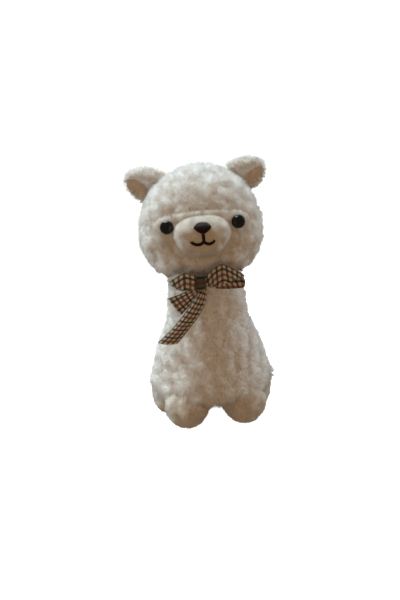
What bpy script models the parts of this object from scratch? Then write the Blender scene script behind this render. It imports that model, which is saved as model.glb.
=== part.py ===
"""A standing plush llama with a tied ribbon, each sewn, moulded or tied piece as its own solid.

Metres, +Z up. The llama stands on its four feet at z = 0 and faces -Y, and the origin lies under
the middle of its bounding box. A soft piece is one solid: its pile fabric with the stuffing in it.
"""

import math

import bmesh
import bpy
from mathutils import Matrix, Vector

MM = 0.001

# Clearances
SEAM_GAP = 0.3 * MM
LINING_GAP = 0.5 * MM
RIBBON_GAP = 0.7 * MM
POST_CLEARANCE = 0.3 * MM
POCKET_CLEARANCE = 1.5 * MM

# Body: a torso that narrows into an upright neck
BELLY_HEIGHT = 29 * MM
TORSO_TOP = 115 * MM
TORSO_WIDTH = 135 * MM
TORSO_BACK = 92 * MM
CHEST_FRONT = -60 * MM
CHEST_NARROWING = 0.13
NECK_Y = -15 * MM
NECK_WIDTH = 84 * MM
NECK_DEPTH = 76 * MM
NECK_TOP = 178 * MM
GROOVE_HEIGHT = 155 * MM
GROOVE_DEPTH = 5 * MM
GROOVE_REACH = 7 * MM

# Curls of the pile: low lumps in rows on the body and hood, set off from row to row
CURL_RELIEF = 2.6 * MM
CURL_ROW = 9 * MM
CURL_FADE = 12 * MM

# Legs: short rounded stubs that start inside the belly
FRONT_LEG_RADIUS = 24 * MM
FRONT_LEG_LENGTH = 46 * MM
FRONT_LEG_SPREAD = 30.5 * MM
FRONT_LEG_Y = -29 * MM
REAR_LEG_RADIUS = 31 * MM
REAR_LEG_LENGTH = 58 * MM
REAR_LEG_SPREAD = 36.5 * MM
REAR_LEG_Y = 43 * MM
FRONT_SOLE_SHARE = 0.23
REAR_SOLE_SHARE = 0.5

# Tail: a small tuft on the rump
TAIL_WIDTH = 27 * MM
TAIL_LENGTH = 34 * MM
TAIL_DEPTH = 24 * MM
TAIL_HEIGHT = 70 * MM
TAIL_Y = 88 * MM

# Head: a round pile hood, widest at the cheeks
HEAD_BASE = 159 * MM
HEAD_HEIGHT = 117 * MM
HEAD_WIDTH = 130 * MM
HEAD_DEPTH = 120 * MM
HEAD_Y = -15 * MM
CHEEK_SQUARENESS = 2.2

# Face: a short-pile panel let into the hood, with a puffed lobe around each eye
FACE_HEIGHT = 48 * MM
FACE_HALF_WIDTH = 47 * MM
FACE_HALF_HEIGHT = 22.5 * MM
FACE_SQUARENESS = 2.6
FACE_TAPER = 0.17
FACE_RECESS = 3.5 * MM
FACE_THICKNESS = 4 * MM
LOBE_RADIUS = 15.5 * MM
LOBE_PUFF = 5 * MM

# Muzzle
MUZZLE_WIDTH = 58 * MM
MUZZLE_HEIGHT = 39 * MM
MUZZLE_DEPTH = 28 * MM
MUZZLE_ABOVE_BASE = 48 * MM
MUZZLE_Y = -69.5 * MM
MUZZLE_SQUARENESS = 2.4

# Embroidered nose and mouth
NOSE_WIDTH = 16.4 * MM
NOSE_HEIGHT = 11 * MM
NOSE_ABOVE_MUZZLE = 8.2 * MM
NOSE_THICKNESS = 1.6 * MM
MOUTH_WIDTH = 24 * MM
MOUTH_STEM = 5.6 * MM
MOUTH_DROP = 4 * MM
STITCH_GAP = 0.5 * MM
THREAD_WIDTH = 2.6 * MM
THREAD_HEIGHT = 1.3 * MM

# Moulded eyes: dome, collar and grooved post in one piece, held by a pressed-on washer
EYE_DIAMETER = 14 * MM
EYE_DOME = 5.8 * MM
EYE_EDGE = 1.2 * MM
EYE_SPACING = 71.5 * MM
EYE_ABOVE_BASE = 58 * MM
EYE_PROUD = 1.2 * MM
EYE_TURN_SHARE = 0.568
POST_DIAMETER = 4.4 * MM
POST_LENGTH = 18 * MM
POST_GROOVE = 0.4 * MM
POST_RIDGES = 3
WASHER_DIAMETER = 12 * MM
WASHER_THICKNESS = 1.4 * MM
WASHER_COLLAR = 7.4 * MM
WASHER_GAP = 0.4 * MM

# Ears: cupped leaves of pile fabric with a smooth lining in the cup
EAR_WIDTH = 42 * MM
EAR_LENGTH = 39 * MM
EAR_THICKNESS = 7.5 * MM
EAR_CUP = 12 * MM
EAR_SINK = 10 * MM
EAR_ROLL_ANGLE = 24
LINING_SHARE = 0.74
LINING_THICKNESS = 1.8 * MM
# Where each ear is sewn on, in degrees round the head from the crown, and how far it rises
LEFT_EAR_ANGLES = (49, 27)
RIGHT_EAR_ANGLES = (45.3, 23.5)

# Ribbon, tied round the neck in one bow
RIBBON_WIDTH = 22 * MM
RIBBON_THICKNESS = 0.8 * MM
BAND_WIDTH = 8 * MM
BAND_LIFT = 4 * MM
PINCH_WIDTH = 8 * MM
KNOT_X = 0 * MM
KNOT_HEIGHT = 161 * MM
KNOT_SIZE = (12 * MM, 18 * MM, 17 * MM)
KNOT_JOIN = 0.3 * MM
RIGHT_LOOP = 37 * MM
LEFT_LOOP = 33 * MM
LOOP_FORWARD = 10 * MM
LOOP_OPENING = 14 * MM
SHORT_TAIL = 43 * MM
LONG_TAIL = 73 * MM
TAIL_LIFT = 6 * MM
TAIL_REACH_ROUND = 0.75

# Mesh fineness
SECTION_POINTS = 32
PILE_POINTS = 46
EAR_POINTS = 20
TURN_STEPS = 20


def clear_scene():
    for old in list(bpy.data.objects):
        bpy.data.objects.remove(old)


def material(name, colour, roughness):
    """A plain surface of one colour, given as sRGB from 0 to 255."""
    made = bpy.data.materials.new(name)
    made.use_nodes = True
    surface = made.node_tree.nodes["Principled BSDF"]
    linear = [(c / 255) ** 2.2 for c in colour]
    surface.inputs["Base Color"].default_value = (*linear, 1)
    surface.inputs["Roughness"].default_value = roughness
    surface.inputs["Metallic"].default_value = 0
    return made


def add_object(name, bm, finish):
    """Puts a bmesh into the scene as a named object, with its faces pointing outwards."""
    bmesh.ops.recalc_face_normals(bm, faces=bm.faces)
    if bm.calc_volume(signed=True) < 0:
        bmesh.ops.reverse_faces(bm, faces=bm.faces)
    mesh = bpy.data.meshes.new(name)
    bm.to_mesh(mesh)
    bm.free()
    mesh.shade_smooth()
    made = bpy.data.objects.new(name, mesh)
    bpy.context.scene.collection.objects.link(made)
    if finish:
        mesh.materials.append(finish)
    return made


def as_helper(made):
    made.hide_render = True
    made.display_type = "WIRE"
    return made


def close_end(bm, loop):
    """Faces over an end, each between points that lie opposite each other, so a curved end is fine."""
    half = len(loop) // 2
    bm.faces.new((loop[0], loop[1], loop[-1]))
    for i in range(1, half - 1):
        bm.faces.new((loop[i], loop[i + 1], loop[-i - 1], loop[-i]))
    bm.faces.new((loop[half - 1], loop[half], loop[half + 1]))


def loft(name, rings, finish, closed_path=False, lumpy=False):
    """A closed skin through rings that all have the same even number of points.

    The two halves of a ring mirror each other, and so do the diagonals of their triangles, which
    keeps the two sides of a thin twisted piece apart. Those of a lumpy skin join the points that
    lie low, so that each high point is a lump of its own."""
    bm = bmesh.new()
    loops = [[bm.verts.new(p) for p in ring] for ring in rings]
    pairs = list(zip(loops, loops[1:]))
    if closed_path:
        pairs.append((loops[-1], loops[0]))
    for row, (low, high) in enumerate(pairs):
        for i in range(len(low)):
            j = (i + 1) % len(low)
            if (i + row) % 2 == 0 if lumpy else i < len(low) // 2:
                bm.faces.new((low[i], low[j], high[j]))
                bm.faces.new((low[i], high[j], high[i]))
            else:
                bm.faces.new((low[i], low[j], high[i]))
                bm.faces.new((low[j], high[j], high[i]))
    if not closed_path:
        close_end(bm, loops[0])
        close_end(bm, loops[-1])
    return add_object(name, bm, finish)


def turned(name, profile, finish):
    """A solid of revolution about Z from (radius, height) points that start and end on the axis."""
    bm = bmesh.new()
    points = [bm.verts.new((radius, 0, height)) for radius, height in profile]
    edges = [bm.edges.new(pair) for pair in zip(points, points[1:])]
    bmesh.ops.spin(
        bm,
        geom=points + edges,
        cent=(0, 0, 0),
        axis=(0, 0, 1),
        angle=2 * math.pi,
        steps=TURN_STEPS,
        use_duplicate=False,
    )
    bmesh.ops.remove_doubles(bm, verts=bm.verts, dist=1e-6)
    return add_object(name, bm, finish)


def boolean(target, operation, other, thin=False):
    """Thin folded pieces join safely only where the solver also looks at each piece by itself."""
    step = target.modifiers.new(f"{operation.lower()}_{other.name}", "BOOLEAN")
    step.operation = operation
    step.solver = "EXACT"
    step.use_self = thin
    step.object = other


def grown(source, gap):
    """A hidden copy of a piece, its modifiers included, that is larger by the gap all over."""
    copy = bpy.data.objects.new(f"{source.name}_grown", source.data.copy())
    bpy.context.scene.collection.objects.link(copy)
    copy.matrix_world = source.matrix_world
    for old in source.modifiers:
        new = copy.modifiers.new(old.name, old.type)
        new.operation, new.solver, new.object = old.operation, old.solver, old.object
    swell = copy.modifiers.new("swell", "DISPLACE")
    swell.strength = gap
    swell.mid_level = 0
    return as_helper(copy)


def signed_power(value, power):
    return math.copysign(abs(value) ** power, value)


def profile_at(rows, height):
    """The values of a table's rows at a height, on a smooth curve through all the rows."""
    height = min(max(height, rows[0][0]), rows[-1][0])
    span = next(i for i in range(len(rows) - 1) if height <= rows[i + 1][0])

    def slope(i, column):
        low, high = max(i - 1, 0), min(i + 1, len(rows) - 1)
        return (rows[high][column] - rows[low][column]) / (rows[high][0] - rows[low][0])

    low, high = rows[span], rows[span + 1]
    step = high[0] - low[0]
    t = (height - low[0]) / step
    return [
        low[c] * (2 * t**3 - 3 * t**2 + 1)
        + high[c] * (3 * t**2 - 2 * t**3)
        + slope(span, c) * step * (t**3 - 2 * t**2 + t)
        + slope(span + 1, c) * step * (t**3 - t**2)
        for c in range(1, len(low))
    ]


def heights_through(rows, spacing):
    """Heights at each row and evenly between rows, no further apart than the spacing."""
    found = [rows[0][0]]
    for low, high in zip(rows, rows[1:]):
        parts = max(1, round((high[0] - low[0]) / spacing))
        found += [low[0] + (high[0] - low[0]) * (i + 1) / parts for i in range(parts)]
    return found


def torso_rows():
    """Height, half width, front and back of the body, from the belly to the top of the neck."""
    # Share of the torso's height, of its width, and of the way from neck to chest and to rump
    shape = (
        (0.00, 0.70, -0.60, 0.60),
        (0.04, 0.88, 0.35, 0.80),
        (0.09, 0.96, 0.80, 0.92),
        (0.16, 1.00, 0.96, 0.98),
        (0.38, 0.935, 1.00, 1.00),
        (0.56, 0.87, 0.95, 0.95),
        (0.72, 0.79, 0.80, 0.80),
        (0.89, 0.70, 0.62, 0.50),
        (1.00, 0.655, 0.48, 0.28),
    )
    neck_front, neck_back = NECK_Y - NECK_DEPTH / 2, NECK_Y + NECK_DEPTH / 2
    rows = [
        (
            BELLY_HEIGHT + share * (TORSO_TOP - BELLY_HEIGHT),
            width * TORSO_WIDTH / 2,
            neck_front + chest * (CHEST_FRONT - neck_front),
            neck_back + rump * (TORSO_BACK - neck_back),
        )
        for share, width, chest, rump in shape
    ]
    groove_width = NECK_WIDTH / 2 - GROOVE_DEPTH
    groove_front, groove_back = neck_front + GROOVE_DEPTH, neck_back - GROOVE_DEPTH
    groove_edge = GROOVE_HEIGHT - BAND_WIDTH / 2 - 1.5 * MM
    neck_edge = groove_edge - GROOVE_REACH
    rows += [
        ((TORSO_TOP + neck_edge) / 2, NECK_WIDTH / 2, neck_front, neck_back),
        (neck_edge, NECK_WIDTH / 2, neck_front, neck_back),
        (groove_edge, groove_width, groove_front, groove_back),
        (GROOVE_HEIGHT, groove_width, groove_front, groove_back),
        (NECK_TOP - 3 * MM, groove_width, groove_front, groove_back),
        (NECK_TOP, groove_width * 0.8, groove_front * 0.85, groove_back * 0.6),
    ]
    return rows


def body_section(rows, height, points=SECTION_POINTS, out=0.0):
    """One level slice of the body: an oval, a little narrower at the chest than at the rump."""
    half_width, front, back = profile_at(rows, height)
    middle, half_depth = (front + back) / 2, (back - front) / 2
    narrowing = CHEST_NARROWING * min(1, max(0, (half_depth - NECK_DEPTH / 2) / NECK_DEPTH * 2))
    ring = []
    for i in range(points):
        angle = 2 * math.pi * i / points
        x = (half_width + out) * math.cos(angle) * (1 + narrowing * math.sin(angle))
        ring.append(Vector((x, middle + (half_depth + out) * math.sin(angle), height)))
    return ring


def curled(rings, low, high):
    """Moves every second point of the rings out and the others in, which makes lumps in a chequer.
    The lumps fade out towards the low and high ends."""
    lumpy = []
    for j, ring in enumerate(rings):
        middle = sum(ring, Vector()) / len(ring)
        height = ring[0].z
        fade = max(0.0, min(1.0, (height - low) / CURL_FADE, (high - height) / CURL_FADE))
        lumpy.append([
            p + (p - middle).normalized() * (CURL_RELIEF / 2 * fade * (1 if (i + j) % 2 else -1))
            for i, p in enumerate(ring)
        ])
    return lumpy


def make_body(finish):
    rows = torso_rows()
    heights = heights_through(rows, CURL_ROW)
    rings = [body_section(rows, height, PILE_POINTS) for height in heights]
    groove_edge = GROOVE_HEIGHT - BAND_WIDTH / 2 - GROOVE_REACH
    return loft("body", curled(rings, BELLY_HEIGHT + 2 * MM, groove_edge), finish, lumpy=True)


def make_leg(name, shape, side, radius, length, spread, y, finish):
    """A stub flattened where it stands, from a shape of (share of radius, share of length)."""
    profile = [(share * radius, rise * length) for share, rise in shape]
    leg = turned(name, profile, finish)
    leg.location = (side * spread, y, 0)
    return leg


def front_leg_shape():
    """A small round foot under a leg that flares out over it."""
    return (
        (0.0, 0.0), (FRONT_SOLE_SHARE, 0.0), (0.37, 0.02), (0.51, 0.06), (0.635, 0.12),
        (0.745, 0.195), (0.85, 0.29), (0.95, 0.39), (1.0, 0.5), (0.97, 0.62), (0.87, 0.76),
        (0.6, 0.92), (0.0, 1.0),
    )


def rear_leg_shape():
    """A fuller haunch that stands on a wider sole."""
    return (
        (0.0, 0.0), (REAR_SOLE_SHARE, 0.0), (0.74, 0.025), (0.86, 0.07), (0.95, 0.15),
        (0.99, 0.27), (1.0, 0.42), (0.96, 0.56), (0.85, 0.73), (0.6, 0.9), (0.0, 1.0),
    )


def head_rows():
    """Height, half width, and depth before and behind the middle, of the hood."""
    # Share of the head's height, of its half width, and of its half depth in front and behind
    shape = (
        (0.00, 0.50, 0.40, 0.48),
        (0.02, 0.63, 0.48, 0.60),
        (0.05, 0.69, 0.55, 0.67),
        (0.10, 0.775, 0.65, 0.77),
        (0.17, 0.87, 0.78, 0.86),
        (0.25, 0.94, 0.88, 0.92),
        (0.33, 0.985, 0.95, 0.965),
        (0.40, 1.00, 0.985, 0.99),
        (0.48, 0.98, 1.00, 1.00),
        (0.56, 0.95, 1.00, 1.00),
        (0.65, 0.905, 0.98, 0.98),
        (0.75, 0.83, 0.92, 0.91),
        (0.85, 0.70, 0.79, 0.77),
        (0.93, 0.50, 0.57, 0.55),
        (0.98, 0.27, 0.31, 0.30),
        (1.00, 0.06, 0.06, 0.06),
    )
    deep = HEAD_DEPTH / 2
    return [
        (HEAD_BASE + rise * HEAD_HEIGHT, wide * HEAD_WIDTH / 2, before * deep, behind * deep)
        for rise, wide, before, behind in shape
    ]


def head_front(rows, x, z):
    """The y of the hood's front surface at a place seen from the front."""
    half_width, before, _ = profile_at(rows, z)
    left = max(0.0, 1 - abs(x / half_width) ** CHEEK_SQUARENESS)
    return HEAD_Y - before * left ** (1 / CHEEK_SQUARENESS)


def make_head(rows, finish):
    power = 2 / CHEEK_SQUARENESS
    rings = []
    for height in heights_through(rows, CURL_ROW):
        half_width, before, behind = profile_at(rows, height)
        rings.append([
            Vector((
                half_width * signed_power(math.cos(a), power),
                HEAD_Y + (before if a > math.pi else behind) * signed_power(math.sin(a), power),
                height,
            ))
            for a in (2 * math.pi * i / PILE_POINTS for i in range(PILE_POINTS))
        ])
    lumps = curled(rings, HEAD_BASE + BAND_WIDTH, HEAD_BASE + HEAD_HEIGHT)
    return loft("head", lumps, finish, lumpy=True)


def patch(name, outline, front, back, finish, levels=4):
    """A solid between two surfaces y = front(x, z, s) and y = back(x, z), inside an outline.

    s runs from 0 at the middle of the outline to 1 at its edge, so that a front can be domed."""
    middle = sum(outline, Vector((0, 0))) / len(outline)
    bm = bmesh.new()
    sheets = []
    for surface in (front, back):
        centre = bm.verts.new((middle.x, surface(middle.x, middle.y, 0), middle.y))
        loops = []
        for level in range(1, levels + 1):
            s = level / levels
            places = [middle.lerp(p, s) for p in outline]
            loops.append([bm.verts.new((p.x, surface(p.x, p.y, s), p.y)) for p in places])
        sheets.append((centre, loops))
    count = len(outline)
    for centre, loops in sheets:
        for i in range(count):
            j = (i + 1) % count
            bm.faces.new((centre, loops[0][i], loops[0][j]))
            for near, far in zip(loops, loops[1:]):
                bm.faces.new((near[i], far[i], far[j], near[j]))
    rims = [loops[-1] for _, loops in sheets]
    for i in range(count):
        j = (i + 1) % count
        bm.faces.new((rims[0][i], rims[0][j], rims[1][j], rims[1][i]))
    return add_object(name, bm, finish)


def oval(half_width, half_height, squareness, middle_x, middle_z, points):
    """A closed outline seen from the front, between an ellipse and a rounded rectangle."""
    power = 2 / squareness
    angles = [2 * math.pi * i / points for i in range(points)]
    return [
        Vector((
            middle_x + half_width * signed_power(math.cos(a), power),
            middle_z + half_height * signed_power(math.sin(a), power),
        ))
        for a in angles
    ]


def lobe_rise(x, z):
    """How far the face puffs out around each eye: a smooth dome that fades at its edge."""
    distance = math.hypot(abs(x) - EYE_SPACING / 2, z - HEAD_BASE - EYE_ABOVE_BASE)
    return LOBE_PUFF * max(0.0, 1 - (distance / LOBE_RADIUS) ** 2)


def make_face(rows, head, finish):
    """The face panel in its pocket in the hood, and the shape that the muzzle is seated on."""
    centre_z = HEAD_BASE + FACE_HEIGHT

    def outer(x, z, s):
        return head_front(rows, x, z) + FACE_RECESS - lobe_rise(x, z)

    def inner(x, z, s):
        return head_front(rows, x, z) + FACE_RECESS + FACE_THICKNESS

    def mask(gap):
        """The panel's outline: an oval that is wider at the eyes than at the chin."""
        edge = oval(FACE_HALF_WIDTH + gap, FACE_HALF_HEIGHT + gap, FACE_SQUARENESS, 0, 0, 32)
        taper = FACE_TAPER / FACE_HALF_HEIGHT
        return [Vector((p.x * (1 + taper * p.y), centre_z + p.y)) for p in edge]

    face = patch("face_panel", mask(0), outer, inner, finish, levels=5)
    muzzle_seat = patch(
        "muzzle_seat",
        mask(0),
        lambda x, z, s: outer(x, z, s) - 2.5 * SEAM_GAP,
        lambda x, z, s: HEAD_Y,
        None,
        levels=5,
    )
    pocket = patch(
        "face_pocket",
        mask(2 * SEAM_GAP),
        lambda x, z, s: HEAD_Y - HEAD_DEPTH,
        lambda x, z, s: inner(x, z, s) + 2.5 * SEAM_GAP,
        None,
        levels=5,
    )
    boolean(head, "DIFFERENCE", as_helper(pocket))
    return face, as_helper(muzzle_seat)


def eye_place():
    """An eye's place on its lobe, its turn, which is a share of the hood's own slope there, and
    how far behind it the washer clears the slanting back of the panel."""
    rows = head_rows()
    x, z = EYE_SPACING / 2, HEAD_BASE + EYE_ABOVE_BASE
    slope = (head_front(rows, x + MM, z) - head_front(rows, x - MM, z)) / (2 * MM)
    turn = math.atan(EYE_TURN_SHARE * slope)
    y = head_front(rows, x, z) + FACE_RECESS - LOBE_PUFF - EYE_PROUD
    behind = EYE_PROUD + LOBE_PUFF + FACE_THICKNESS + WASHER_GAP + WASHER_THICKNESS / 2
    behind += math.tan(math.atan(slope) - turn) * WASHER_DIAMETER / 2
    return Vector((x, y, z)), turn, behind


def place_on_eye_axis(made, side):
    """Turns a piece that was made along +Z so that its axis is that of one eye, facing out."""
    place, turn, _ = eye_place()
    forward = Matrix.Rotation(math.radians(90), 4, "X")
    outward = Matrix.Rotation(side * turn, 4, "Z")
    made.matrix_world = Matrix.Translation((side * place.x, place.y, place.z)) @ outward @ forward


def eye_profile():
    """Down the outside from the top of the dome to the end of the grooved post."""
    radius, post = EYE_DIAMETER / 2, POST_DIAMETER / 2
    dome = [
        (radius * math.sin(a), EYE_DOME * math.cos(a))
        for a in (math.pi / 2 * i / 5 for i in range(6))
    ]
    edge = [(radius, -EYE_EDGE), (post + 1.2 * MM, -EYE_EDGE), (post, -EYE_EDGE - 1.2 * MM)]
    ridge = (POST_LENGTH - 5 * MM) / POST_RIDGES
    grooves = []
    for i in range(POST_RIDGES):
        top = -EYE_EDGE - 3 * MM - i * ridge
        grooves += [(post, top), (post - POST_GROOVE, top - ridge / 2)]
    tip = [(post, 2 * MM - POST_LENGTH), (post * 0.6, -POST_LENGTH), (0, -POST_LENGTH)]
    return dome + edge + grooves + tip


def washer_profile():
    """A flat disc with a raised collar that grips the post."""
    bore = POST_DIAMETER / 2 + POST_CLEARANCE
    rim, collar = WASHER_DIAMETER / 2, WASHER_COLLAR / 2
    top = WASHER_THICKNESS / 2
    return [
        (bore, top), (rim - 0.4 * MM, top), (rim, top - 0.4 * MM), (rim, -top),
        (collar, -top), (collar - 0.3 * MM, -top - 1.6 * MM), (bore, -top - 1.6 * MM), (bore, top),
    ]


def make_eyes(head, face, black, white):
    for name, side in (("left", -1), ("right", 1)):
        eye = turned(f"eye_{name}", eye_profile(), black)
        place_on_eye_axis(eye, side)
        seat = turned(f"eye_{name}_seat", eye_profile(), None)
        place_on_eye_axis(seat, side)
        boolean(face, "DIFFERENCE", grown(seat, SEAM_GAP))
        as_helper(seat)
        washer = turned(f"eye_washer_{name}", washer_profile(), white)
        place_on_eye_axis(washer, side)
        washer.matrix_world @= Matrix.Translation((0, 0, -eye_place()[2]))
        reach = WASHER_DIAMETER / 2 + POCKET_CLEARANCE
        end = POST_LENGTH + POCKET_CLEARANCE
        pocket = turned(f"eye_{name}_pocket", [(0, 0), (reach, 0), (reach, -end), (0, -end)], None)
        place_on_eye_axis(pocket, side)
        boolean(head, "DIFFERENCE", as_helper(pocket))


def muzzle_front(x, z):
    """The y of the muzzle's front surface at a place seen from the front."""
    middle = HEAD_BASE + MUZZLE_ABOVE_BASE
    used = abs(2 * x / MUZZLE_WIDTH) ** MUZZLE_SQUARENESS
    used += abs(2 * (z - middle) / MUZZLE_HEIGHT) ** MUZZLE_SQUARENESS
    return MUZZLE_Y - MUZZLE_DEPTH * max(0.0, 1 - used) ** (1 / MUZZLE_SQUARENESS)


def make_muzzle(seat, finish):
    """A soft box-like dome: rings that shrink from the widest one, at the face, to the tip."""
    middle = HEAD_BASE + MUZZLE_ABOVE_BASE
    power = 2 / MUZZLE_SQUARENESS
    rings = []
    for i in range(1, 11):
        lean = math.pi * i / 16
        share = math.sin(lean) ** power
        y = MUZZLE_Y - MUZZLE_DEPTH * signed_power(math.cos(lean), power)
        outline = oval(
            MUZZLE_WIDTH / 2 * share, MUZZLE_HEIGHT / 2 * share, MUZZLE_SQUARENESS, 0, middle, 28
        )
        rings.append([Vector((p.x, y, p.y)) for p in outline])
    muzzle = loft("muzzle", rings, finish)
    boolean(muzzle, "DIFFERENCE", seat)
    return muzzle


def make_nose(finish):
    """A satin-stitched patch: a wide top with round corners and a blunt point below."""
    top_z = HEAD_BASE + MUZZLE_ABOVE_BASE + NOSE_ABOVE_MUZZLE
    outline = []
    for i in range(24):
        angle = 2 * math.pi * i / 24
        rise = math.sin(angle)
        taper = 1 - 0.42 * max(0.0, -rise) - 0.04 * max(0.0, rise)
        x = NOSE_WIDTH / 2 * signed_power(math.cos(angle), 0.86) * taper
        outline.append(Vector((x, top_z + NOSE_HEIGHT / 2 * rise)))

    def under(x, z, s):
        return muzzle_front(x, z) - SEAM_GAP

    def over(x, z, s):
        return under(x, z, s) - THREAD_HEIGHT / 2 - NOSE_THICKNESS * math.sqrt(1 - 0.9 * s**2)

    return patch("nose", outline, over, under, finish)


def mouth_strokes():
    """The stem under the nose and the two hooks of the smile, seen from the front."""
    nose_z = HEAD_BASE + MUZZLE_ABOVE_BASE + NOSE_ABOVE_MUZZLE
    top = nose_z - NOSE_HEIGHT / 2 - STITCH_GAP
    fork = top - MOUTH_STEM
    strokes = [[Vector((0, top - MOUTH_STEM * i / 3)) for i in range(4)]]
    reach, join = MOUTH_WIDTH / 4, THREAD_WIDTH / 6
    for side in (-1, 1):
        angles = [math.pi * (1 - i / 9 * 0.92) for i in range(10)]
        strokes.append([
            Vector((side * (reach * (1 + math.cos(a)) - join), fork - MOUTH_DROP * math.sin(a)))
            for a in angles
        ])
    return strokes


def make_mouth(finish):
    """Three raised lines of stitching that meet at the fork, joined into one."""
    pieces = []
    for number, stroke in enumerate(mouth_strokes()):
        rings = []
        for i, p in enumerate(stroke):
            before, after = stroke[max(i - 1, 0)], stroke[min(i + 1, len(stroke) - 1)]
            along = (after - before).normalized()
            across = Vector((-along.y, along.x)) * THREAD_WIDTH / 2
            ring = []
            for k in range(8):
                angle = 2 * math.pi * k / 8
                place = p + across * math.cos(angle)
                lift = SEAM_GAP + 0.3 * MM + THREAD_HEIGHT / 2 * (1 + math.sin(angle))
                ring.append(Vector((place.x, muzzle_front(place.x, place.y) - lift, place.y)))
            rings.append(ring)
        pieces.append(loft("mouth" if number == 0 else f"mouth_hook_{number}", rings, finish))
    for hook in pieces[1:]:
        boolean(pieces[0], "UNION", as_helper(hook))
    return pieces[0]


def ear_frame(side, round_head, rise):
    """The place and directions of an ear: base point, out along it, across it and out of its cup."""
    angle = math.radians(round_head)
    middle_z = HEAD_BASE + HEAD_HEIGHT * 0.48
    base = Vector((
        side * HEAD_WIDTH / 2 * 0.97 * math.sin(angle),
        HEAD_Y,
        middle_z + HEAD_HEIGHT * 0.52 * math.cos(angle),
    ))
    lift = math.radians(rise)
    out = Vector((side * math.cos(lift), 0, math.sin(lift)))
    up = Vector((-side * math.sin(lift), 0, math.cos(lift)))
    roll = math.radians(EAR_ROLL_ANGLE)
    facing = Vector((0, -math.cos(roll), 0)) - up * math.sin(roll)
    return base - out * EAR_SINK, out, facing.cross(out).normalized(), facing


def ear_half_width(share):
    """Half the ear's width at a share of its length: a full base and a blunt round tip."""
    return EAR_WIDTH / 2 * (1 - max(0.0, share) ** 2.6) ** (1 / 1.9)


def ear_front(x, share):
    """How far the front of the ear stands out of its frame at a place across it."""
    half = ear_half_width(share)
    inside = 1 - min(1.0, (x / half) ** 2)
    cup = EAR_CUP * half / (EAR_WIDTH / 2)
    return -cup * inside + EAR_THICKNESS / 2 * math.sqrt(inside)


def make_ear(name, frame, head_seat, finish):
    base, out, across, facing = frame
    rings = []
    for i in range(10):
        share = 0.985 * math.sin(math.pi / 2 * i / 9)
        half = ear_half_width(share)
        cup = EAR_CUP * half / (EAR_WIDTH / 2)
        start = base + out * EAR_LENGTH * share
        ring = []
        for k in range(EAR_POINTS):
            angle = 2 * math.pi * k / EAR_POINTS
            rise = -cup * math.sin(angle) ** 2 + EAR_THICKNESS / 2 * math.sin(angle)
            ring.append(start + across * half * math.cos(angle) + facing * rise)
        rings.append(ring)
    ear = loft(f"ear_{name}", rings, finish)
    boolean(ear, "DIFFERENCE", head_seat)
    return ear


def make_ear_lining(name, frame, head_seat, finish):
    """A thin smooth leaf that lies in the cup, clear of the pile by the lining gap."""
    base, out, across, facing = frame
    rings = []
    for i in range(8):
        share = 0.86 * math.sin(math.pi / 2 * i / 7)
        shrink = math.sqrt(max(0.02, 1 - (share / 0.9) ** 2))
        half = EAR_WIDTH / 2 * LINING_SHARE * shrink
        start = base + out * EAR_LENGTH * share
        ring = []
        for k in range(EAR_POINTS):
            angle = 2 * math.pi * k / EAR_POINTS
            x = half * math.cos(angle)
            middle = ear_front(x, share) + LINING_GAP + LINING_THICKNESS / 2
            rise = middle + LINING_THICKNESS / 2 * math.sin(angle)
            ring.append(start + across * x + facing * rise)
        rings.append(ring)
    lining = loft(f"ear_lining_{name}", rings, finish)
    boolean(lining, "DIFFERENCE", head_seat)
    return lining


def make_tail(body_seat, finish):
    """A drop-shaped tuft, sewn to the rump by its front."""
    rings = []
    for i in range(1, 10):
        angle = math.pi * i / 10
        share = math.sin(angle) * (1 + 0.18 * math.cos(angle))
        z = TAIL_HEIGHT - TAIL_LENGTH / 2 * math.cos(angle)
        rings.append([
            Vector((
                TAIL_WIDTH / 2 * share * math.cos(a),
                TAIL_Y + TAIL_DEPTH / 2 * share * math.sin(a),
                z,
            ))
            for a in (2 * math.pi * k / 16 for k in range(16))
        ])
    tail = loft("tail", rings, finish)
    boolean(tail, "DIFFERENCE", body_seat)
    return tail


def strip(name, stations, finish, closed_path=False):
    """A ribbon through stations of (middle point, direction across, width, how far it is slanted)."""
    rings = []
    count = len(stations)
    for i, (middle, across, width, slant) in enumerate(stations):
        if closed_path:
            before, after = stations[i - 1][0], stations[(i + 1) % count][0]
        else:
            before, after = stations[max(i - 1, 0)][0], stations[min(i + 1, count - 1)][0]
        along = (after - before).normalized()
        side = (across - along * across.dot(along)).normalized() * width / 2
        face = along.cross(side).normalized() * RIBBON_THICKNESS / 2
        side += along * slant
        rings.append([
            middle - side - face, middle - face, middle + side - face,
            middle + side + face, middle + face, middle - side + face,
        ])
    return loft(name, rings, finish, closed_path)


def knot_place():
    """The middle of the knot, whose back just reaches into the band in the groove."""
    band_y = NECK_Y - NECK_DEPTH / 2 + GROOVE_DEPTH - RIBBON_GAP
    return Vector((KNOT_X, band_y - KNOT_JOIN - KNOT_SIZE[1] / 2, KNOT_HEIGHT))


def neck_band(finish):
    """The turn round the neck, squeezed narrow in the groove under the head."""
    section = body_section(torso_rows(), GROOVE_HEIGHT, 36, RIBBON_GAP + RIBBON_THICKNESS / 2)
    up = Vector((0, 0, 1))
    stations = []
    for p in section:
        lift = BAND_LIFT * max(0.0, (NECK_Y - p.y) / (NECK_DEPTH / 2))
        stations.append((p + up * lift, up, BAND_WIDTH, 0))
    return strip("ribbon_band", stations, finish, closed_path=True)


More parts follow.
